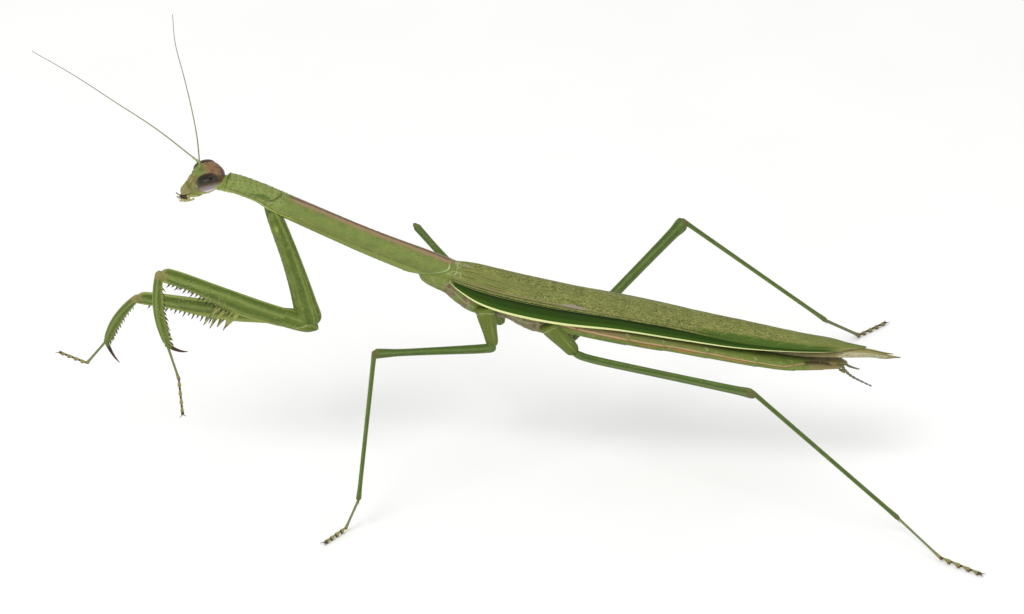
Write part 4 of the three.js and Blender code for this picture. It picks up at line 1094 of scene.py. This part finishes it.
def spineRow(spines, at, stations, outward, count, first, last, length, lean, forward, girth, wave=0.1,
             fade=0.0):
    # Thorns under a limb, long and short in turn, and shorter towards the last where they fade.
    for k in range(count):
        t = lerp(first, last, k / (count - 1))
        place, along, side, top = (row[0] for row in frameAt(at, t, -outward))
        wide, high, deep = valuesAt(stations, t)[0]
        root = place + outward * deep * grasping["spineDepth"] + side * wide * grasping["spineSide"] * lean
        spines.add(root, outward + grasping["spineLean"] * lean * side + forward * along, along,
                   length * (1 + wave * (-1) ** k) * (1 - fade * k / count), girth)


# The long first joint of a foot, the root of its claws, and its short joints between them.
foot = {
    "first": [[-0.03, 0.19, 0.2], [0.05, 0.16, 0.17], [0.8, 0.14, 0.16], [0.93, 0.19, 0.21],
              [1.02, 0.15, 0.28]],
    "last": [[0, 0.14], [0.7, 0.2], [1, 0.12]], "joints": 4, "lastReach": 0.84, "lift": 0.14,
    "floorReach": 1,
    "clawLength": 0.7, "clawRadius": 0.085,
}
toeSkin = skin("toeSkin", ("928a54", "80764a", "635a38"), [
    ("green", "6a7a4a", 0.9, 0.3), ("straw", "8a8a4a", 0.5, 0.6), ("pad", "74502f", 0.85, 0.5),
    ("dark", "241c15", 0.9, 0.4)], mottle=1500, grain=8000)
clawSkin = skin("clawSkin", ("4a3a34", "3a2c2a", "6b5a4c"), mottle=2500)


def tarsus(label, start, heel, toe, node, size=1.0, shade=0.0, lobe=0.31):
    # A slim first joint to the heel, four short joints with pads below, and two claws.
    piece = Piece(label + "Toes")
    piece.tube(straight(start, heel), sized(foot["first"], size), 60, 20, up, ends=(0.03, 0.04),
               detail=lambda t, *place: (0, {"green": ramp(t, 0.95, 0.8), "pad": ramp(t, 0.93, 0.99),
                                             "dark": shade}))
    # The pads hang below the joints, so a foot on the floor is lifted to stand on them.
    lift = up * (foot["lift"] if heel[2] < foot["floorReach"] else 0)
    heel, toe = heel + lift, toe + lift
    for k in range(foot["joints"]):
        reach = foot["lastReach"] if k == foot["joints"] - 1 else 1.0
        rows = [[k - 0.1, 0.13, 0.13, 0.13], [k + 0.4, 0.16, 0.15, 0.16 + 0.1 * lobe],
                [k + 0.75, 0.17 + 0.3 * lobe, 0.17, 0.16 + lobe], [k + 0.96 * reach, 0.17, 0.15, 0.15 + lobe]]

        def padDetail(t, angle, *place):
            share, low = t * foot["joints"] - k, ramp(cos(angle), 0.2, -0.5)
            return 0, {"green": 0.35 * (k == 0), "pad": ramp(share, 0.25, 0.6) * low, "straw": 1 - low,
                       "dark": shade + bell(share, 0.05, 0.16) + 0.6 * bell(share, 0.95, 0.1) * low}
        piece.tube(straight(heel, toe), [[row[0] / foot["joints"], *row[1:]] for row in rows], 34, 22, up,
                   ends=(0.1, 0.12), detail=padDetail)
    along = unit(toe - heel)
    side = unit(np.cross(along, up))
    piece.tube(straight(toe - along * 0.5, toe + along * 0.15), foot["last"], 16, 16, up,
               detail=marked({"dark": 0.7}))
    piece.make(toeSkin, "toes", node)
    below = np.cross(along, side)
    below = -below if below[2] > 0 else below
    claws = Thorns()
    for lean in (-1, 1):
        claws.add(toe + along * 0.05, along + 0.9 * lean * side + 0.05 * up, below, foot["clawLength"],
                  foot["clawRadius"])
    claws.make(label + "Claws", clawSkin, "toes")


for name, places in graspingLegs.items():
    root, elbow, knee, wrist, clawTip, heel, toe = (arr(p) for p in places)
    piece, spines, longSpines = Piece(name + "GraspingLeg"), Thorns(), Thorns()
    behind, dorsal = squareTo(knee, elbow, root), squareTo(wrist, knee, elbow)
    bend = squareTo(elbow, knee, wrist)
    coxaAt = bent(root + arr([-0.45 * np.sign(root[0]), 0, 0.5]),
                  (root + elbow) / 2 + behind * grasping["coxaBow"], elbow)
    femurAt = straight(elbow, knee)
    tibiaAt = bent(knee, (knee + wrist) / 2 + bend * grasping["tibiaBow"][name], wrist)
    femur = [[t, wide, high, deep + grasping["deeper"][name] * float(bell(t, 0.62, 0.19))]
             for t, wide, high, deep in grasping["femur"]]
    piece.tube(coxaAt, grasping["coxa"], 150, 72, behind, ends=(0.05, 0.08), detail=coxaDetail)
    piece.tube(femurAt, grasping["trochanter"], 120, 80, dorsal, ends=(0.3, 0.1), detail=trochanterDetail)
    piece.tube(femurAt, femur, 240, 80, dorsal, ends=(0.05, 0.06),
               detail=partial(femurDetail, grasping["belly"][name]))
    piece.tube(tibiaAt, grasping["tibia"], 150, 48, bend, ends=(0.06, 0.08), detail=tibiaDetail)
    # The lobes of the knee on each side of the shin's root.
    thigh = unit(knee - elbow)
    across = unit(np.cross(dorsal, knee - elbow))
    for way in (1, -1):
        middle = knee + across * way * grasping["lobeSide"] - thigh * grasping["lobeBack"]
        low, high = (middle + thigh * reach - dorsal * grasping["lobeBelow"]
                     for reach in grasping["lobeReach"])
        piece.tube(straight(low, high), grasping["kneeLobe"], 30, 28, dorsal, ends=(0.35, 0.35),
                   detail=marked({"knee": 0.45}))
    tip = (wrist + clawTip) / 2 + unit(tibiaAt(1.0)[0] - tibiaAt(0.98)[0]) * grasping["clawBow"]
    piece.tube(bent(wrist, tip, clawTip), grasping["claw"], 60, 20, sideways, ends=(0.05, 0.03),
               detail=lambda t, *place: (0, {"claw": ramp(t, 0.0, 0.35)}))
    nodes = [f"fore_{part}_{name}" for part in ("coxa", "trochanter", "femur", "tibia")]
    piece.make(legSkin, "fore_leg", *nodes)
    for kind, group, at, stations, outward in (
            ("coxaSpines", spines, coxaAt, grasping["coxa"], -behind),
            ("femurSpines", spines, femurAt, femur, -dorsal),
            ("longSpines", longSpines, femurAt, femur, -dorsal),
            ("tibiaSpines", spines, tibiaAt, grasping["tibia"], -bend)):
        for row in grasping[kind]:
            spineRow(group, at, stations, outward, *row)
    spines.make(name + "Spines", thornSkin, "fore_leg", sides=8)
    longSpines.make(name + "LongSpines", longThornSkin, "fore_leg", sides=10)
    tarsus(name + "Fore", lerp(wrist, heel, 0.02), heel, toe, f"fore_tarsus_{name}", lobe=0.18)

# Each walking leg: root, hip, knee, ankle, heel and toe.
walkingLegs = {
    "middle_left": [[2.0, -3.25, 24.8], [2.6, -2.3, 20.0], [11.1, -16.75, 23.9], [13.6, -18.9, 4.2],
                    [14.5, -20.55, 0.45], [17.4, -22.9, 0.22]],
    "middle_right": [[-2.0, -3.4, 24.5], [-3.0, -1.6, 20.6], [-13.4, -12.5, 28.4], [-27.3, -8.1, 14.8],
                     [-29.1, -6.3, 12.6], [-31.5, -3.5, 10.1]],
    "hind_left": [[2.0, 4.9, 22.8], [1.7, 8.05, 18.6], [15.8, 29.93, 21.42], [14.1, 48.4, 2.5],
                  [20.0, 53.45, 0.45], [23.1, 58.0, 0.22]],
    "hind_right": [[-2.0, 4.8, 22.6], [-2.5, 7.5, 18.5], [-24.0, 21.95, 23.45], [-29.6, 41.2, 5.55],
                   [-34.7, 46.1, 0.3], [-38.1, 49.7, 0.22]],
}
hindFemur = [[0, 0.44, 0.66], [0.12, 0.44, 0.68], [0.5, 0.42, 0.66], [0.9, 0.43, 0.78], [0.96, 0.46, 0.95],
             [1, 0.48, 0.9]]
walking = {
    "coxa": [[0, 1.0, 1.35], [0.3, 0.92, 1.15], [0.6, 0.8, 0.92], [0.85, 0.62, 0.78], [1, 0.5, 0.58]],
    "femur": {"middle_right": [[0, 0.44, 0.62], [0.12, 0.44, 0.62], [0.5, 0.44, 0.62], [0.8, 0.45, 0.63],
                               [0.92, 0.47, 0.7], [1, 0.5, 0.78]],
              "middle_left": [[0, 0.44, 0.62], [0.12, 0.44, 0.6], [0.5, 0.38, 0.5], [0.8, 0.36, 0.48],
                              [0.92, 0.4, 0.6], [1, 0.46, 0.68]],
              "hind_left": hindFemur, "hind_right": hindFemur},
    "joint": [[0, 0.4, 0.6], [0.6, 0.47, 0.66], [1, 0.43, 0.6]],
    "tibia": [[-0.02, 0.3, 0.34], [0, 0.3, 0.34], [0.1, 0.28, 0.3], [0.9, 0.27, 0.28], [1, 0.32, 0.36]],
    # How far a thigh's middle hangs below the line of its ends, and what else differs from leg to leg.
    "sag": {"middle_left": 0.2, "hind_left": 0.38}, "coxaReach": {"middle_right": 1.15},
    "coxaSize": {"hind_left": 1.12}, "toes": {"hind_right": (1.3, 0.4)},
    "spurLength": 0.75, "spurRadius": 0.06,
    "hairs": 60, "hairPlaces": (0.05, 0.97), "hairOut": 0.25, "hairLengths": (0.15, 0.3), "hairRadius": 0.012,
}
walkSkin = skin("walkSkin", ("55692d", "4b6025", "68763a"), [
    ("light", "6d8044", 0.45, 0.8), ("darker", "384f1a", 0.6, 0.8), ("belly", "64753a", 0.6, 0.4),
    ("knee", "5f5f30", 0.75, 0.7), ("coxa", "616e27", 0.88, 0.6), ("joint", "7a8638", 0.6, 0.6),
    ("seam", "a8ac7c", 0.7, 0.6), ("dark", "4a4a2a", 0.7, 0.4)], mottle=600, streaks=(30, 4, 0.4),
    specks=(2600, "8f9a60", 0.35))


def hipDetail(t, angle, deg, x, y):
    more, marks = coxaDetail(t, angle, deg, x, y)
    ring = bell(t, 0.13 + 0.05 * sin(2 * angle + 1), 0.016)
    seam = marks["seam"] + 0.7 * ring + 0.5 * bell(deg, 66, 5) * ramp(t, 0.2, 0.4)
    marks.update(coxa=ramp(t, 1.0, 0.75), seam=seam)
    return more - 0.05 * ring, marks


def thighDetail(t, angle, deg, x, y):
    more = -0.03 * bell(deg, 60, 10) - 0.03 * bell(deg, 120, 10)
    return more, limbMarks(t, deg, knee=ramp(t, 0.955, 0.985))


def shinDetail(t, angle, deg, x, y):
    return 0.015 * cos(4 * angle), limbMarks(t, deg, knee=ramp(t, 0.04, 0.01) + ramp(t, 0.96, 0.99))


for name, places in walkingLegs.items():
    root, hip, knee, ankle, heel, toe = (arr(p) for p in places)
    label = name.split("_")[0] + name.split("_")[1].title()
    piece, bristles = Piece(label + "Leg"), Thorns()
    outward = squareTo(ankle, knee, hip)
    size = walking["coxaSize"].get(name, 1.0)
    femurAt = straight(hip, knee, walking["sag"].get(name, 0.0))
    piece.tube(straight(lerp(root, hip, -0.12), lerp(root, hip, walking["coxaReach"].get(name, 1.0))),
               sized(walking["coxa"], size), 110, 64, backwards, ends=(0.05, 0.12), detail=hipDetail)
    piece.tube(femurAt, walking["femur"][name], 200, 40, outward, ends=(0.02, 0.025), detail=thighDetail)
    piece.tube(straight(knee, ankle), walking["tibia"], 180, 32, outward, ends=(0.015, 0.015),
               detail=shinDetail)
    # The small joint between hip and thigh.
    piece.tube(lambda t: femurAt(arr(t) * 0.08 - 0.02), walking["joint"], 30, 40, outward, ends=(0.3, 0.1),
               detail=lambda t, *place: (0, {"seam": 0.4 * bell(t, 0.95, 0.04), "coxa": 0.25}))
    piece.make(walkSkin, "walking_leg", *(f"{name}_{part}" for part in ("coxa", "femur", "tibia")))
    # Spurs at the shin's end, and short hairs along the shin.
    shin = unit(ankle - knee)
    side = unit(np.cross(shin, outward))
    for lean in (-1, 1):
        bristles.add(ankle - shin * 0.3 - outward * 0.25 + side * 0.15 * lean,
                     shin - 0.6 * outward + 0.3 * lean * side, shin, walking["spurLength"],
                     walking["spurRadius"])
    for k in range(walking["hairs"]):
        t, turn = rng.uniform(*walking["hairPlaces"]), rng.uniform(0, 2 * pi)
        out = outward * cos(turn) + side * sin(turn)
        bristles.add(lerp(knee, ankle, t) + out * walking["hairOut"], out + 1.2 * shin, shin,
                     rng.uniform(*walking["hairLengths"]), walking["hairRadius"])
    bristles.make(label + "Bristles", hairSkin, "walking_leg", sides=4)
    tarsus(label, lerp(ankle, heel, -0.02), heel, toe, f"{name}_tarsus", *walking["toes"].get(name, ()))
print("legs ready")

studio = {
    "floorHalf": 2.0, "floorTones": ("fbfbfa", "f6f6f5"), "world": 0.76,
    "lamps": {"key": ((0.35, -0.25, 0.6), 0.35, 2.3), "fill": ((0.3, 0.5, 0.35), 0.3, 0.5)},
    "aimHeight": 24.3, "azimuth": 91, "elevation": 30, "distance": 0.55,
    "sensor": 36, "focal": 154.6875, "clipStart": 0.01,
}
half = studio["floorHalf"]
mesh = bpy.data.meshes.new("floor")
mesh.from_pydata([(-half, -half, 0), (half, -half, 0), (half, half, 0), (-half, half, 0)], [], [(0, 1, 2, 3)])
floor = bpy.data.objects.new("floor", mesh)
link(floor)
paper = Surface("paper", Roughness=0.9, Specular_IOR_Level=0.1)
under, over = studio["floorTones"]
mesh.materials.append(paper.finish(paper.mix(paper.noise(40), colour(under), over)))

world = bpy.data.worlds.new("studio")
bpy.context.scene.world = world
world.use_nodes = True
background = world.node_tree.nodes["Background"]
background.inputs["Color"].default_value = (1, 1, 1, 1)
background.inputs["Strength"].default_value = studio["world"]

aim = Vector((shift + up * studio["aimHeight"]) * mm)
for name, (place, size, power) in studio["lamps"].items():
    light = bpy.data.lights.new(name, "AREA")
    light.shape, light.size, light.energy = "DISK", size, power
    lamp = bpy.data.objects.new(name, light)
    link(lamp)
    lamp.location = aim + Vector(place)
    lamp.rotation_euler = Vector(place).to_track_quat("Z", "Y").to_euler()

azimuth, elevation = radians(studio["azimuth"]), radians(studio["elevation"])
back = Vector((sin(azimuth) * cos(elevation), -cos(azimuth) * cos(elevation), sin(elevation)))
lens = bpy.data.cameras.new("camera")
lens.sensor_width, lens.lens, lens.clip_start = studio["sensor"], studio["focal"], studio["clipStart"]
camera = bpy.data.objects.new("camera", lens)
link(camera)
camera.location = aim + back * studio["distance"]
camera.rotation_euler = back.to_track_quat("Z", "Y").to_euler()
bpy.context.scene.camera = camera
bpy.context.scene.view_settings.view_transform = "Standard"

bpy.context.view_layer.update()
print("scene ready")
